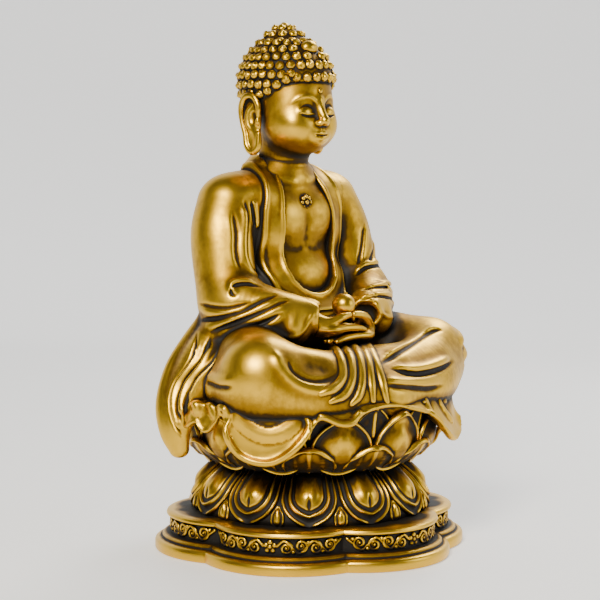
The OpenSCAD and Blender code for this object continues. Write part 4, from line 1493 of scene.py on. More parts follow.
@dataclass
class Robe:
    """Outer robe, its two sleeves and the banded collar, sculpted as one and parted into castings."""

    voxel: float = 0.45
    low: tuple[float, float, float] = (-61, -27, 33)
    high: tuple[float, float, float] = (61, 37, 151)
    middle: float = 0.5
    opening: tuple[tuple[float, float], ...] = (
        (0.0, 94.2), (4.0, 94.8), (7.5, 96.4), (10.6, 99.6), (12.2, 104.0), (12.8, 112.0), (12.3, 124.0),
        (11.0, 130.0), (9.5, 136.0), (7.5, 143.0), (7.0, 160.0),
    )
    band: float = 8.0
    overlap: float = 0.5

    def body(self, c: Clay) -> None:
        """Mass of the robe over chest, belly and hips."""
        for centre, radii in (
            ((0, 11, 96), (24, 14.5, 16)), ((0, 13.5, 118), (25, 14, 20)), ((0, 18, 139), (14, 9.5, 8)),
            ((0, 11, 81), (33, 21, 15)),
        ):
            c.ball(centre, radii, 5)
        for s in (-1, 1):
            c.ball((18 * s, 17, 129), (14, 12, 10.5), 5)

    def sleeve(self, c: Clay, s: int) -> None:
        """Mass of one sleeve: upper arm, elbow, forearm and the drape that falls to the knee."""
        c.tube(
            sided([(26, 17, 127), (30.5, 15, 116), (32, 11.5, 101), (32.5, 8, 93)], s),
            (11.2, 11.4, 11.2, 11.6), 3
        )
        c.ball(sided([(33, 8, 92)], s)[0], (10.3, 12, 12.3), 3)
        c.tube(sided([(32, 4, 91), (24, -7, 88), (15, -14, 87)], s), (10.6, 9.0, 6.8), 3)
        outer = spline([(37, 17, 84), (48, 20, 70), (55.5, 18, 57), (57.3, 15, 46), (55, 10, 37)], 24)
        inner = spline(
            [(20, -14, 83), (34, -7, 81.5), (46, 0, 70), (54, 4, 57), (55.8, 8, 46), (54.6, 9, 37)], 24
        )
        c.tube(sided([(34, 8, 82), (44, 12, 70), (50, 12, 60)], s), (9.5, 7.5, 4.5), 3)
        for t in np.linspace(0, 1, 5):
            line = outer * (1 - t) + inner * t
            size = np.interp(np.linspace(0, 1, 24), (0, 0.5, 1), (3.8, 3.4, 1.4))
            c.tube(sided(line[::3], s), size[::3], 2.6)
        c.ball(sided([(19, -12.2, 83.8)], s)[0], (8.6, 4.2, 6.8), 2.5, yaw=-35 * s)
        c.ball(sided([(10.5, -18.5, 86.5)], s)[0], (5.6, 5.2, 5.2), 1.2, carve=True)

    def clays(self) -> tuple[Clay, Array, Array, Array]:
        """Sculpt the whole robe.

        Returns:
            The robe, and the fields of the body alone and of each sleeve alone.
        """
        c = Clay(self.low, self.high, self.voxel)
        self.body(c)
        body = c.field.copy()
        sleeves = []
        for s in (-1, 1):
            part = Clay(self.low, self.high, self.voxel)
            self.sleeve(part, s)
            sleeves.append(part.field)
            c.field = join(c.field, part.field, 2.5)
        self.folds(c)
        return c, body, sleeves[0], sleeves[1]

    def folds(self, c: Clay) -> None:
        """Press the folds into robe and sleeves."""
        for line, depth, width, puff in (
            (
                ((-24.5, 129), (-23.2, 122), (-23.6, 112), (-22.5, 105), (-18, 98)), 1.5, 1.2,
                (-1.8, -1.8, 0.3)
            ),
            (((-29, 125), (-27.6, 117), (-27.5, 109), (-26, 102)), 0.8, 1.5, (-1.8, -1.8, 0)),
            (((-22, 128.5), (-21.2, 123), (-20.8, 117)), 1.2, 1.0, (1.0, -0.8, 0)),
            (
                ((-17.5, 96.0), (-23.5, 97.2), (-28.5, 96.4), (-29.2, 93.6), (-26.4, 92.6)), 1.2, 0.9,
                (0, 0, 1.9)
            ),
            (((-42, 90), (-36, 88.5), (-29, 88.4), (-20, 91)), 0.9, 1.1, (0, 0, -2.2)),
            (
                ((-41.5, 83.5), (-34, 84.5), (-25.5, 87.0), (-16.5, 91.5), (-11.5, 93.5)), 1.5, 1.1,
                (0, 0, -2.4)
            ),
            (((-38, 79), (-28.5, 82.6), (-19, 86.4), (-11.5, 90.0), (-7, 91.5)), 1.4, 1.0, (0, 0, -2.1)),
            (((-31, 77.5), (-24, 80.0), (-16, 83.4), (-9, 87.5)), 0.9, 0.9, (0, 0, -1.8)),
            (((20, 120), (19, 111), (17.5, 104)), 1.3, 1.1, (1.4, 1.4, 0)),
            (((24, 114), (23, 109), (21.5, 104)), 0.9, 1.0, (1.3, 1.3, 0)),
            (((17, 100), (20, 103), (25, 104), (28, 104)), 1.1, 0.9, (0, 0, 1.9)),
            (((18, 94.5), (22.5, 95.8), (28.5, 96), (32, 95.6)), 1.2, 0.9, (0, 0, 1.8)),
            (((18.5, 91.3), (23, 92.6), (29, 92.1), (34.5, 90.0)), 1.1, 0.8, (0, 0, 1.6)),
        ):
            c.crease(c.seen(QUARTER, line), depth, width, puff, (0.2, 0.25))
        for line in (
            ((18.5, 89.5), (22.5, 90), (25, 88.3), (27.6, 85.7), (31, 84.5), (37.5, 84)),
            ((-19, 81.5), (-14, 79.5), (-8.5, 77.6), (-5, 77.8), (-2.5, 80.0), (-0.5, 83.5), (1.5, 87)),
        ):
            c.stroke(c.seen(QUARTER, line), 0.9, 0.9, Fold.ROUND, (0.1, 0.1))
        for line in (
            ((-42.0, 80), (-44, 69.5), (-50, 60.5), (-52, 53.5), (-51, 46), (-47, 38)),
            ((-37, 78), (-40, 69), (-46.5, 60.5), (-49, 53), (-48.5, 45)),
            ((-31, 76), (-36, 68.5), (-42.5, 61), (-46, 53.5), (-46.8, 45)),
        ):
            c.crease(c.seen(QUARTER, line), 1.5, 1.1, (-1.6, -1.2, 0.6), (0.15, 0.15))
        sides = (
            ((22, 127), (23.5, 118), (22.5, 108), (19, 99)), ((29, 124), (30, 116), (29.5, 107), (26, 100)),
            ((33, 80), (27, 83), (20, 86), (13, 90)), ((32, 92), (26, 90.5), (19, 93), (14, 96)),
        )
        for view, sign, lines in ((44.5, 1, sides[2:]), (100.0, 1, sides[:2]), (-100.0, -1, sides[:2])):
            for line in lines:
                path = c.seen(view, [(sign * a, b) for a, b in line])
                c.crease(path, 1.2, 1.3, (1.2, 0, -1.2), (0.25, 0.25))
        back = [
            ((-22, 140), (-12, 128), (2, 118), (18, 110)), ((-26, 132), (-16, 119), (-2, 108), (16, 99)),
            ((-27, 121), (-17, 108), (-4, 98), (12, 90)), ((-24, 108), (-14, 97), (-2, 89), (10, 83)),
            ((-12, 143), (-2, 134), (10, 126), (22, 120)),
        ]
        for line in back:
            c.crease(c.seen(180.0, line), 0.7, 1.9, (0, 0, 1.4), (0.3, 0.3))

    def parts(self) -> list[tuple[str, str, Clay, Array, float]]:
        """Part the robe into castings: object name, CAD node, clay, region field and swell."""
        c, body, right, left = self.clays()
        x, y, z = c.whole()
        right_half = [(self.middle + a, b) for a, b in self.opening]
        left_half = [(self.middle - a, b) for a, b in reversed(self.opening[1:])]
        inside = outline_distance(right_half + left_half, x[:, :, 0], z[0]) [:, None, :]
        inside = inside + 0 * y
        front = y < 20 + 0 * x + 0 * z
        neck = np.sqrt(x * x + (y - 14) ** 2) - 10.9 + 0 * z
        column = np.maximum(neck, 120 - z)
        groove = bell_curve(inside - self.band - 0.5, 0.6) * front
        raised = c.field + 0.3 * groove
        cut = np.maximum(np.maximum(inside - 0.8, y - 20), 92.0 - z)
        outer = np.maximum(np.maximum(raised, -cut), -column)
        rims = bell_curve(inside - 0.9, 0.75) + 0.9 * bell_curve(inside - self.band + 0.7, 0.75)
        band_field = c.field - 0.7 - 0.5 * rims
        zone = np.where(front, np.maximum(-inside, inside - self.band), np.maximum(136.0 - z, neck - 5.6))
        arms = np.minimum(right, left)
        band_field = np.maximum(np.maximum(band_field, zone), -(body + 3.4))
        band_field = np.maximum(np.maximum(band_field, -column), 88.0 - z)
        band_field = np.maximum(band_field, (body - arms) * 0.5 - 0.6)
        out = []
        gap_r, gap_l = (right - body) * 0.5, (left - body) * 0.5
        outer_field = np.maximum(outer, -np.minimum(gap_r, gap_l) - self.overlap)
        out.append(("robe_body", "outer_robe", c, outer_field, 0.0))
        sleeve_r = np.maximum(np.maximum(outer, gap_r - self.overlap), x + 0.5)
        sleeve_l = np.maximum(np.maximum(outer, gap_l - self.overlap), 0.5 - x)
        out.append(("robe_sleeve_right", "right_sleeve", c, sleeve_r, 0.05))
        out.append(("robe_sleeve_left", "left_sleeve", c, sleeve_l, 0.05))
        out.append(("robe_collar_band", "lapel_band", c, band_field, 0.0))
        return out

    def build(self) -> list[bpy.types.Object]:
        """Make the robe's castings."""
        made = []
        for name, node, clay, region, swell in self.parts():
            mesh = sculpted(name, clay, region - swell)
            made.append(piece(mesh, ROBE, "robe_brass", node))
        return made


@dataclass
class Torso:
    """Bare chest and neck in the robe's opening, with a rosette on the breastbone."""

    voxel: float = 0.5

    def build(self) -> list[bpy.types.Object]:
        """Make the chest and its rosette."""
        c = Clay((-28, -12, 78), (28, 30, 150), self.voxel)
        for centre, radii, soft in (
            ((0, 12.6, 98), (24, 12.8, 17), 4), ((0, 15.2, 120), (24, 13.6, 18), 5),
            ((0, 16, 137), (15.5, 9.6, 7.5), 6), ((0, 11.0, 97), (16, 11.6, 13), 4),
        ):
            c.ball(centre, radii, soft)
        for s in (-1, 1):
            c.ball((8.5 * s, 8.6, 123.0), (9.5, 6.6, 8.2), 5)
        c.tube([(0, 15, 134), (0, 14.4, 139), (0, 13.6, 146)], (10.2, 8.9, 8.3), 4)
        c.stroke(c.seen(0, ((0, 126), (0.2, 118), (0, 110))), -0.36, 2.0, Fold.ROUND, (0.3, 0.3))
        for s in (-1, 1):
            c.stroke(
                c.seen(0, ((s * 0.8, 111.4), (s * 5.5, 110.4), (s * 11, 112.5))), -0.24, 2.0, Fold.ROUND,
                (0.2, 0.3)
            )
            c.stroke(
                c.seen(0, ((s * 1.5, 135.2), (s * 6, 136.2), (s * 12, 137.0))), 0.4, 1.5, Fold.ROUND,
                (0.3, 0.3)
            )
        front = c.seen(0, ((0, 127.6), (0, 127.9)))[0]
        made = [piece(sculpted("bare_torso", c), SKIN, "skin_brass", "torso")]
        ball, faces = bead(1.0, 12, 8)
        lift = front + (0, -0.15, 0)
        parts = [(ball * (1.1, 1.2, 1.1) + lift, faces)]
        for k in range(8):
            a = 2 * math.pi * k / 8
            centre = lift + np.array([2.05 * math.cos(a), 0.1, 2.05 * math.sin(a)])
            parts.append((ball * (0.86, 0.9, 0.86) + centre, faces))
        made.append(piece(solid("breast_rosette", parts), RELIEF, "worn_brass", "chest_rosette"))
        return made


@dataclass
class Head:
    """Head with a calm, downcast face, long-lobed ears and a cap of curls."""

    voxel: float = 0.33
    eye_z: float = 160.9
    eye_x: float = 5.8
    curl_pitch: float = 3.75
    knot: tuple[float, float, float] = (0.0, 14.0, 184.6)
    hairline: tuple[tuple[float, float], ...] = (
        (0, 172.4), (30, 172.1), (45, 171.5), (60, 168.8), (74, 166.0), (86, 165.2), (102, 161.5),
        (116, 158.2), (140, 157.2), (180, 156.6),
    )

    def face(self) -> Clay:
        """Sculpt skull, face and neck."""
        c = Clay((-19, -12, 134), (19, 33, 188), self.voxel)
        c.ball((0, 13, 170), (15.6, 17.6, 14.6), 2)
        c.ball((0, 6.9, 160.4), (14.5, 12.4, 14.2), 4)
        c.ball((0, 6.2, 154.0), (11.8, 10.2, 7.6), 5)
        c.ball((0, 1.5, 152.8), (7.0, 5.2, 4.6), 5.5)
        c.tube([(0, 15.0, 136), (0, 14.2, 144), (0, 13, 152)], (9.9, 9.4, 10.0), 2.5)
        for s in (-1, 1):
            c.ball((6.6 * s, 0.6, 156.0), (5.0, 4.4, 4.6), 4.5)
            c.ball((self.eye_x * s, -7.6, 162.0), (4.2, 2.8, 2.9), 3.0, carve=True)
            c.ball((self.eye_x * s, -2.0, self.eye_z), (3.6, 2.9, 2.3), 1.0)
        c.tube([(0, -4.4, 165.0), (0, -5.7, 161.5), (0, -7.4, 158.1)], (1.6, 1.5, 1.75), 1.8)
        c.ball((0, -7.7, 157.4), (1.75, 1.75, 1.5), 1.0)
        for s in (-1, 1):
            c.ball((1.75 * s, -6.2, 156.7), (1.25, 1.6, 1.1), 0.8)
            c.ball((0.85 * s, -7.2, 155.75), (0.5, 0.7, 0.35), 0.3, carve=True)
        c.ball((0, -3.9, 152.2), (4.4, 2.4, 3.2), 2.0)
        for s in (-1, 1):
            c.tube(
                sided([(0.0, -6.35, 152.95), (1.3, -6.15, 153.3), (3.9, -4.5, 152.75)], s), (0.6, 0.72, 0.32),
                0.5
            )
        c.tube([(-3.2, -4.9, 151.75), (0, -6.0, 151.2), (3.2, -4.9, 151.75)], (0.5, 1.0, 0.5), 0.7)
        self.lines(c)
        for z in (139.4, 142.2):
            ring = polar(np.full(49, 9.5), np.linspace(-180, 180, 49), z) + (0, 14.2, 0)
            c.stroke(ring, -0.55, 0.8, Fold.ROUND, (0, 0))
        return c

    def lines(self, c: Clay) -> None:
        """Draw brows, lids, lips and the folds beside them."""
        for s in (-1, 1):
            brow = c.seen(
                0, [
                    (s * a, b) for a, b in (
                        (1.5, 163.6), (3.4, 165.9), (6.3, 166.7), (9.3, 165.6), (11.2, 163.4)
                    )
                ]
            )
            c.stroke(brow, 0.62, 0.85, Fold.ROUND, (0.2, 0.4))
            crease = c.seen(
                0, [(s * a, b) for a, b in ((2.7, 161.6), (4.6, 163.1), (6.8, 163.2), (9.3, 161.7))]
            )
            c.stroke(crease, -0.4, 0.5, Fold.ROUND, (0.2, 0.3))
            slit = c.seen(
                0, [(s * a, b) for a, b in ((2.3, 159.6), (4.3, 159.3), (6.5, 159.4), (9.3, 160.2))]
            )
            c.stroke(slit, -0.75, 0.42, Fold.ROUND, (0.12, 0.12))
            c.stroke(slit + (0, 0, 0.75), 0.34, 0.42, Fold.ROUND, (0.2, 0.2))
            c.stroke(slit - (0, 0, 0.8), 0.28, 0.45, Fold.ROUND, (0.25, 0.25))
            c.stroke(c.seen(0, [(s * 0.7, 155.1), (s * 0.65, 153.9)]), 0.22, 0.4, Fold.ROUND, (0.2, 0.2))
        mouth = c.seen(
            0,
            [
                (-4.1, 152.75), (-2, 152.25), (-0.8, 152.3), (0, 152.1), (0.8, 152.3), (2, 152.25),
                (4.1, 152.75)
            ]
        )
        c.stroke(mouth, -0.7, 0.4, Fold.ROUND, (0.12, 0.12))

    def ear(self, s: int) -> bpy.types.Mesh:
        """Sculpt one long-lobed ear."""
        c = Clay((13 * s - 8, 6, 143), (13 * s + 8, 24, 170), 0.32)

        def at(y: float, z: float, out: float) -> tuple[float, float, float]:
            """Point on the ear's plane, which leans out a little towards the back."""
            return (s * (15.3 + 0.10 * (y - 10) - 0.02 * (z - 158) + out), y, z)

        c.ball(at(14.4, 158.5, -0.2), (1.7, 4.4, 8.2), 0.5)
        c.ball(at(13.0, 149.9, 0.0), (1.5, 3.2, 4.6), 1.5)
        helix = [
            at(11.0, 158.6, 1.0), at(10.6, 163.0, 1.1), at(13.0, 166.6, 1.2), at(16.8, 166.4, 1.3),
            at(18.9, 162.5, 1.2), at(18.4, 157.5, 1.1), at(16.9, 152.5, 1.0), at(16.0, 148.4, 1.0),
            at(13.4, 146.2, 0.9), at(10.9, 148.2, 0.8), at(10.6, 153.0, 0.7)
        ]
        c.tube(helix, (0.8, 1.1, 1.2, 1.25, 1.15, 1.0, 1.0, 1.2, 1.3, 1.1, 0.8), 0.6)
        c.tube(
            [at(13.6, 163.4, 0.9), at(15.8, 160.8, 1.1), at(15.8, 156.6, 1.1), at(14.0, 154.0, 0.9)],
            (0.7, 0.85, 0.9, 0.8), 0.5
        )
        c.ball(at(12.6, 158.6, 1.9), (1.4, 1.7, 2.6), 0.6, carve=True)
        c.ball(at(10.9, 157.3, 1.0), (1.0, 1.0, 1.4), 0.6)
        c.ball(at(13.4, 150.6, 1.9), (0.9, 1.2, 2.7), 0.6, carve=True)
        return sculpted("ear_right" if s < 0 else "ear_left", c)

    def line_at(self, degrees: Array) -> Array:
        """Height of the hairline at an angle from the front."""
        t = np.array(self.hairline)
        return np.interp(np.abs(degrees), t[:, 0], t[:, 1])

    def cap(self) -> Clay:
        """Cap under the curls, with the knot on top."""
        c = Clay((-19.5, -9, 152), (19.5, 34, 196), 0.5)
        c.ball((0, 13, 172.0), (16.6, 18.3, 16.9), 1)
        c.ball(self.knot, (7.9, 7.9, 8.2), 4)
        x, y, z = c.whole()
        degrees = np.degrees(np.arctan2(x, 13 - y)) + 0 * z
        above = z - self.line_at(degrees) + 0.6
        c.field = -join(-c.field, above, 0.8)
        return c

    def curl(self) -> bpy.types.Mesh:
        """One snail curl: a small dome whose steps wind up to its tip."""
        sides, rows = 9, 6
        angle = np.arange(sides) / sides * 2 * math.pi
        radii = (1.72, 1.92, 1.72, 1.18, 0.92, 0.34)
        heights = (-0.9, 0.15, 0.95, 1.28, 1.62, 1.95)
        rings = []
        for k in range(rows):
            wind = 0.16 * np.cos(angle + k * 1.9)
            r = radii[k] * (1 + wind)
            rings.append(
                np.stack(
                    [r * np.cos(angle), r * np.sin(angle), heights[k] + 0.22 * np.sin(angle + k * 1.9)],
                    axis=1
                )
            )
        points = np.concatenate(rings + [[[0.0, 0.0, -0.9]], [[0.0, 0.0, 2.05]]])
        faces = [list(f) for f in grid_faces(rows, sides, closed_columns=True)]
        low, top = len(points) - 2, len(points) - 1
        mesh = bpy.data.meshes.new("curl")
        for j in range(sides):
            k = (j + 1) % sides
            faces.append([k, j, low])
            faces.append([(rows - 1) * sides + j, (rows - 1) * sides + k, top])
        mesh.from_pydata((points * MM).tolist(), [], [[int(v) for v in f] for f in faces])
        mesh.polygons.foreach_set("use_smooth", np.ones(len(mesh.polygons), bool))
        outward(mesh)
        return mesh

    def hair(self, repeats: Repeats) -> list[bpy.types.Object]:
        """Cap and curls."""
        cap = self.cap()
        found, outs, sizes = [], [], []

        def shoot(origin: Array, ways: Array) -> Array:
            """First surface points along directions."""
            reach = np.arange(4.0, 26.0, 0.15)
            spots = origin + ways[:, None, :] * reach[None, :, None]
            values = cap.sample(spots.reshape(-1, 3)).reshape(len(ways), -1)
            last = values.shape[1] - 1 - (values[:, ::-1] < 0).argmax(1)
            return origin + ways * reach[last][:, None]

        centre = np.array([0, 13.0, 172.0])
        count = round(2 * math.pi * 17.6 / self.curl_pitch)
        a = np.arange(count) / count * 360 - 180
        lift = self.line_at(a) + 1.3 - centre[2]
        ways = polar(17.6, a, lift)
        hits = shoot(centre, ways / np.linalg.norm(ways, axis=1, keepdims=True))
        found.append(hits)
        sizes.append(np.full(count, 0.96))
        step = math.degrees(self.curl_pitch * 0.95 / 17.6)
        for row, lift in enumerate(np.arange(-50.0, 66.0, step)):
            ring = 17.6 * math.cos(math.radians(lift))
            count = max(6, round(2 * math.pi * ring / self.curl_pitch))
            a = (np.arange(count) + 0.5 * (row % 2)) / count * 360 - 180
            ways = polar(np.full(count, math.cos(math.radians(lift))), a, math.sin(math.radians(lift)))
            hits = shoot(centre, ways)
            level = self.line_at(np.degrees(np.arctan2(hits[:, 0], 13 - hits[:, 1])))
            far = np.linalg.norm(hits - self.knot, axis=1)
            keep = (hits[:, 2] > level + 2.5) & (far > 9.3)
            found.append(hits[keep])
            sizes.append(np.full(keep.sum(), 1.0))
        centre = np.array(self.knot) - (0, 0, 1.0)
        for row, lift in enumerate((18.0, 42.0, 68.0, 88.0)):
            ring = 8.4 * math.cos(math.radians(lift))
            count = max(3, round(2 * math.pi * ring / (self.curl_pitch * 0.95)))
            a = (np.arange(count) + 0.5 * (row % 2)) / count * 360
            ways = polar(np.full(count, math.cos(math.radians(lift))), a, math.sin(math.radians(lift)))
            hits = shoot(centre, ways)
            found.append(hits)
            sizes.append(np.full(count, 0.9))
        points, sizes = np.concatenate(found), np.concatenate(sizes)
        at_jewel = ((points - (0, -0.6, 184.6)) / (5.0, 5.4, 3.9)) ** 2
        keep = at_jewel.sum(1) > 1
        points, sizes = points[keep], sizes[keep]
        outs = cap.gradient(points)
        mesh = repeats.studs("curls", points - outs * 0.35, outs, sizes, self.curl(), HAIR, 11)
        LOG.info("curls: %d", len(points))
        return [
            piece(sculpted("hair_cap", cap), HAIR, "hair_brass", "hair"),
            piece(mesh, HAIR, "hair_brass", "hair"),
        ]

    def build(self, repeats: Repeats) -> list[bpy.types.Object]:
        """Make head, ears, hair and jewels."""
        face = self.face()
        made = [piece(sculpted("head_and_face", face), SKIN, "skin_brass", "head")]
        for s, node in ((-1, "right_ear"), (1, "left_ear")):
            made.append(piece(self.ear(s), SKIN, "skin_brass", node))
        made += self.hair(repeats)
        brow = face.seen(0, ((0, 168.6), (0, 168.9)))[0]
        made.append(
            piece(
                solid("brow_dot", [(bead(0.95, 16, 9)[0] + brow, bead(0.95, 16, 9)[1])]), SKIN, "skin_brass",
                "urna"
            )
        )
        points, faces = bead(1.0, 32, 17)
        jewel = solid("crown_jewel_oval", [(points * (3.8, 2.7, 2.8) + (0, 0.7, 184.3), faces)])
        made.append(piece(jewel, SKIN, "skin_brass", "crown_jewel"))
        return made


@dataclass
class Hands:
    """Right hand laid in the left, thumbs touching over a round jewel."""

    voxel: float = 0.33
    jewel: tuple[float, float, float] = (0.0, -17.4, 90.6)
    jewel_r: float = 4.3

    def hand(self, s: int, z: float, tips: Sequence[float], name: str, node: str) -> bpy.types.Object:
        """Sculpt one hand.

        Args:
            s: -1 for the right hand, 1 for the left.
            z: Height of the palm's back.
            tips: How far each finger reaches past the middle, little finger nearest the body.
            name: Object name.
            node: CAD node.

        Returns:
            The finished hand.
        """
        c = Clay((-20, -27, 72), (20, -6, 94), self.voxel)
        c.tube(
            sided([(16.5, -11.5, z + 5.0), (12.5, -15.5, z + 1.9), (6.0, -17.6, z)], s), (4.6, 4.2, 3.3), 2
        )
        c.ball(sided([(7.5, -17.8, z + 0.2)], s)[0], (6.6, 5.4, 2.6), 2)
        rows = (-21.6, -19.15, -16.75, -14.5)
        for y, tip in zip(rows, tips):
            line = [
                (6.0, y * 0.96 - 0.6, z + 0.3), (0.5, y, z + 0.25), (-tip * 0.55, y, z - 0.15),
                (-tip, y + 0.2, z - 1.0)
            ]
            c.tube(sided(line, s), (1.5, 1.38, 1.28, 1.0), 0.45)
        thumb = [(12.5, -17.5, z + 2.8), (9.0, -20.3, 85.2), (5.0, -21.7, 86.9), (1.35, -21.6, 87.4)]
        c.tube(sided(thumb, s), (2.4, 1.75, 1.45, 1.15), 0.8)
        return piece(sculpted(name, c), SKIN, "skin_brass", node)

    def build(self) -> list[bpy.types.Object]:
        """Make both hands and the jewel."""
        points, faces = bead(self.jewel_r, 48, 25)
        ball = solid("wish_jewel_ball", [(points + self.jewel, faces)])
        return [
            self.hand(-1, 82.4, (6.8, 8.6, 8.0, 6.0), "hand_right", "right_hand"),
            self.hand(1, 79.0, (7.4, 9.0, 8.4, 6.4), "hand_left", "left_hand"),
            piece(ball, SKIN, "skin_brass", "wish_jewel"),
        ]


# ---------------------------------------------------------------- patina and painted shade


@dataclass
class PatinaAndShade:
    """Measures how sheltered every point is, and writes it where the brass finishes read it."""

    voxel: float = 0.55
    fine: int = 1
    broad: int = 7
    # underside: painted shade, how much darker the faces that look down are made.
    underside: float = 0.13

    def blur(self, field: Array, radius: int) -> Array:
        """Box blur run twice along each axis."""
        for _ in range(2):
            for axis in range(3):
                pad = [(0, 0)] * 3
                pad[axis] = (radius + 1, radius)
                total = np.cumsum(np.pad(field, pad, mode="edge"), axis=axis, dtype=np.float32)
                size = field.shape[axis]
                high = [slice(None)] * 3
                low = [slice(None)] * 3
                high[axis] = slice(2 * radius + 1, 2 * radius + 1 + size)
                low[axis] = slice(0, size)
                field = (total[tuple(high)] - total[tuple(low)]) / (2 * radius + 1)
        return field

    def apply(self, pieces: Sequence[bpy.types.Object]) -> None:
        """Measure the pieces together and write both attributes on each."""
        voxel = self.voxel * COARSE
        clouds = []
        for obj in pieces:
            mesh = obj.data
            points = np.empty(len(mesh.vertices) * 3, np.float32)
            mesh.vertices.foreach_get("co", points)
            mesh.calc_loop_triangles()
            faces = np.empty(len(mesh.loop_triangles) * 3, np.int32)
            mesh.loop_triangles.foreach_get("vertices", faces)
            clouds.append((points.reshape(-1, 3) / MM, faces.reshape(-1, 3)))
        low = np.min([p.min(0) for p, _ in clouds], axis=0) - 6
        high = np.max([p.max(0) for p, _ in clouds], axis=0) + 6
        shape = tuple(np.ceil((high - low) / voxel).astype(int) + 1)
        filled = np.zeros(shape, np.float32)
        step = openvdb.createLinearTransform(voxelSize=voxel)
        for points, faces in clouds:
            start = np.floor((points.min(0) - low) / voxel).astype(int) - 2
            stop = np.ceil((points.max(0) - low) / voxel).astype(int) + 3
            start, stop = np.maximum(start, 0), np.minimum(stop, shape)
            level = openvdb.FloatGrid.createLevelSetFromPolygons(
                points=(points - low).astype(np.float32), triangles=faces.astype(np.uint32),
                transform=step, halfWidth=3,
            )
            part = np.empty(tuple(stop - start), np.float32)
            level.copyToArray(part, ijk=tuple(int(v) for v in start))
            where = tuple(slice(a, b) for a, b in zip(start, stop))
            filled[where] = np.maximum(filled[where], np.clip(0.5 - part / voxel, 0, 1))
        # hollow_fine is the patina held in lines and beads. The broad view is partly patina and partly
        # painted shade: an occlusion measured across all pieces that darkens folds, undercuts and joins.
        views = (
            ("hollow_fine", self.blur(filled, self.fine)), ("hollow_broad", self.blur(filled, self.broad))
        )
        for obj, (points, _) in zip(pieces, clouds):
            at = (points - low) / voxel
            i = np.minimum(at.astype(int), np.array(shape) - 2)
            f = at - i
            lean = np.empty(len(points) * 3, np.float32)
            obj.data.vertex_normals.foreach_get("vector", lean)
            down = -lean.reshape(-1, 3)[:, 2]
            for name, field in views:
                value = np.zeros(len(points), np.float32)
                for dx in (0, 1):
                    for dy in (0, 1):
                        for dz in (0, 1):
                            share = (
                                np.abs(1 - dx - f[:, 0]) * np.abs(1 - dy - f[:, 1]) * np.abs(1 - dz - f[:, 2])
                            )
                            value += share * field[i[:, 0] + dx, i[:, 1] + dy, i[:, 2] + dz]
                # Painted shade: faces that look down are made darker, where less light reaches them.
                if name == "hollow_broad":
                    value += self.underside * ramp(down, 0.05, 0.9)
                obj.data.attributes.new(name, "FLOAT", "POINT").data.foreach_set(
                    "value", value.astype(np.float32)
                )


# ---------------------------------------------------------------- stage


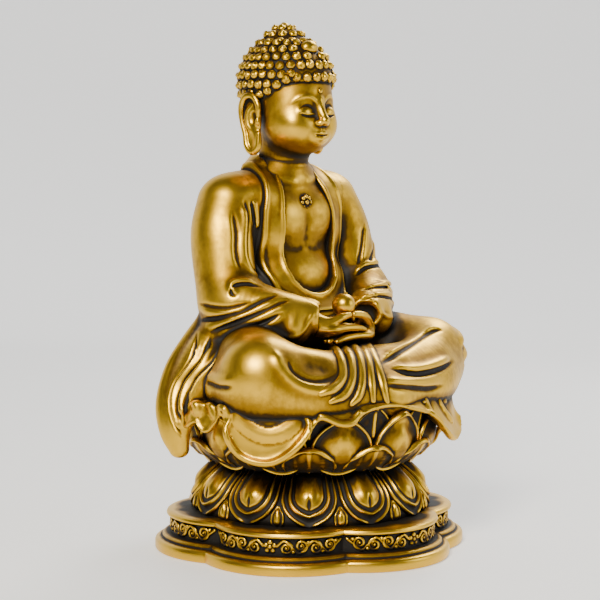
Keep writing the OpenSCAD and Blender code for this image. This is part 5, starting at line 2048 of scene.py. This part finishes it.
@dataclass
class Studio:
    """Pale table and backdrop, a large soft key, a fill and a rim light, and the camera."""

    eye: tuple[float, float, float] = (-490.6, -499.3, 155.0)
    aim: tuple[float, float, float] = (-2.7, 2.7, 91.3)
    lens: float = 113.4
    lights: tuple[tuple[str, tuple[float, float, float], float, float, str], ...] = (
        ("key", (-560, -330, 560), 280, 9.5, "#FFF8EC"),
        ("fill", (460, -620, 300), 420, 1.6, "#F6F8FF"),
        ("rim", (480, 120, 560), 300, 2.9, "#FFFFFF"),
    )

    def look(self, obj: bpy.types.Object, eye: Sequence[float], aim: Sequence[float]) -> None:
        """Put an object at an eye point facing an aim."""
        start, end = Vector(eye) * MM, Vector(aim) * MM
        obj.location = start
        obj.rotation_euler = (end - start).to_track_quat("-Z", "Y").to_euler()

    def build(self) -> None:
        """Make stage, lights and camera."""
        floor = bpy.data.materials.new("matte_table")
        floor.use_nodes = True
        shader = floor.node_tree.nodes["Principled BSDF"]
        shader.inputs["Base Color"].default_value = linear("#E9E8E4")
        shader.inputs["Roughness"].default_value = 0.55
        shader.inputs["Emission Color"].default_value = linear("#FFFFFF")
        # Painted light: the sweep glows by emission, faint on the table near the statue and strong up the
        # wall, though it is no lamp.
        glow = add_node(floor.node_tree, "ShaderNodeAttribute", {"attribute_name": "glow"}, {}).outputs["Fac"]
        floor.node_tree.links.new(glow, shader.inputs["Emission Strength"])
        bend = np.linspace(0, math.pi / 2, 48)
        arc = np.stack([0.7 + 0.7 * np.sin(bend), 0.7 - 0.7 * np.cos(bend)], axis=1)
        line = np.vstack(
            [np.stack([np.linspace(-14.0, 0.6, 10), np.zeros(10)], axis=1), arc, [(1.4, 1.4), (1.4, 2.4)]]
        )
        turn = np.array([[0.7071, 0.7071], [-0.7071, 0.7071]])
        points = []
        for across in np.linspace(-14.0, 14.0, 3):
            flat = np.stack([np.full(60, across), line[:, 0]], axis=1) @ turn.T
            points.append(np.column_stack([flat, line[:, 1]]))
        mesh = bpy.data.meshes.new("sweep_backdrop")
        mesh.from_pydata(np.concatenate(points).tolist(), [], grid_faces(3, 60)[:, ::-1].tolist())
        light = np.tile(0.14 + 0.75 * ramp(line[:, 0], 0.1, 1.0), 3).astype(np.float32)
        mesh.attributes.new("glow", "FLOAT", "POINT").data.foreach_set("value", light)
        mesh.polygons.foreach_set("use_smooth", np.ones(len(mesh.polygons), bool))
        mesh.materials.append(floor)
        ground = bpy.data.objects.new("sweep_backdrop", mesh)
        bpy.context.scene.collection.objects.link(ground)
        ground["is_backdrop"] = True
        for name, place, size, watts, colour in self.lights:
            lamp = bpy.data.lights.new(name, "AREA")
            lamp.shape, lamp.size, lamp.energy = "DISK", size * MM, watts
            lamp.color = linear(colour)[:3]
            obj = bpy.data.objects.new(name, lamp)
            bpy.context.scene.collection.objects.link(obj)
            self.look(obj, place, (0, 0, 80))
            obj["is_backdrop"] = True
        world = bpy.data.worlds.new("white_room")
        world.use_nodes = True
        world.node_tree.nodes["Background"].inputs["Color"].default_value = linear("#F2F3F5")
        world.node_tree.nodes["Background"].inputs["Strength"].default_value = 0.09
        bpy.context.scene.world = world
        data = bpy.data.cameras.new("camera")
        data.lens, data.sensor_width = self.lens, 36.0
        data.clip_start, data.clip_end = 0.01, 20.0
        camera = bpy.data.objects.new("camera", data)
        bpy.context.scene.collection.objects.link(camera)
        self.look(camera, self.eye, self.aim)
        bpy.context.scene.camera = camera


def hidden_metal() -> None:
    """Finish the CAD nodes that stay as they are inside and under the throne."""
    for node, finish in (
        ("tie_rod", ZINC), ("tie_nut", ZINC), ("tie_washer", ZINC), ("base_screws", ZINC),
        ("base_plate", SHEET),
    ):
        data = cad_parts[node].data
        data.materials.clear()
        data.materials.append(dress(finish))


def main() -> None:
    """Build everything."""
    logging.basicConfig(level=logging.INFO, format="%(message)s")
    repeats = Repeats()
    pieces = [
        *Plinth().build(repeats), *LowerLotus().build(repeats), *UpperLotus().build(repeats), *Legs().build(),
        *Hem().build(), *Robe().build(), *Torso().build(), *Head().build(repeats), *Hands().build(),
    ]
    PatinaAndShade().apply(pieces)
    hidden_metal()
    Studio().build()
    {"cad": plain(CAD_BOUNDS), "final": plain(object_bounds())}


def plain(value: object) -> object:
    """Vectors and tuples as plain lists of numbers."""
    try:
        return [plain(v) for v in value]
    except TypeError:
        return float(value)


if __name__ == "__main__":
    main()
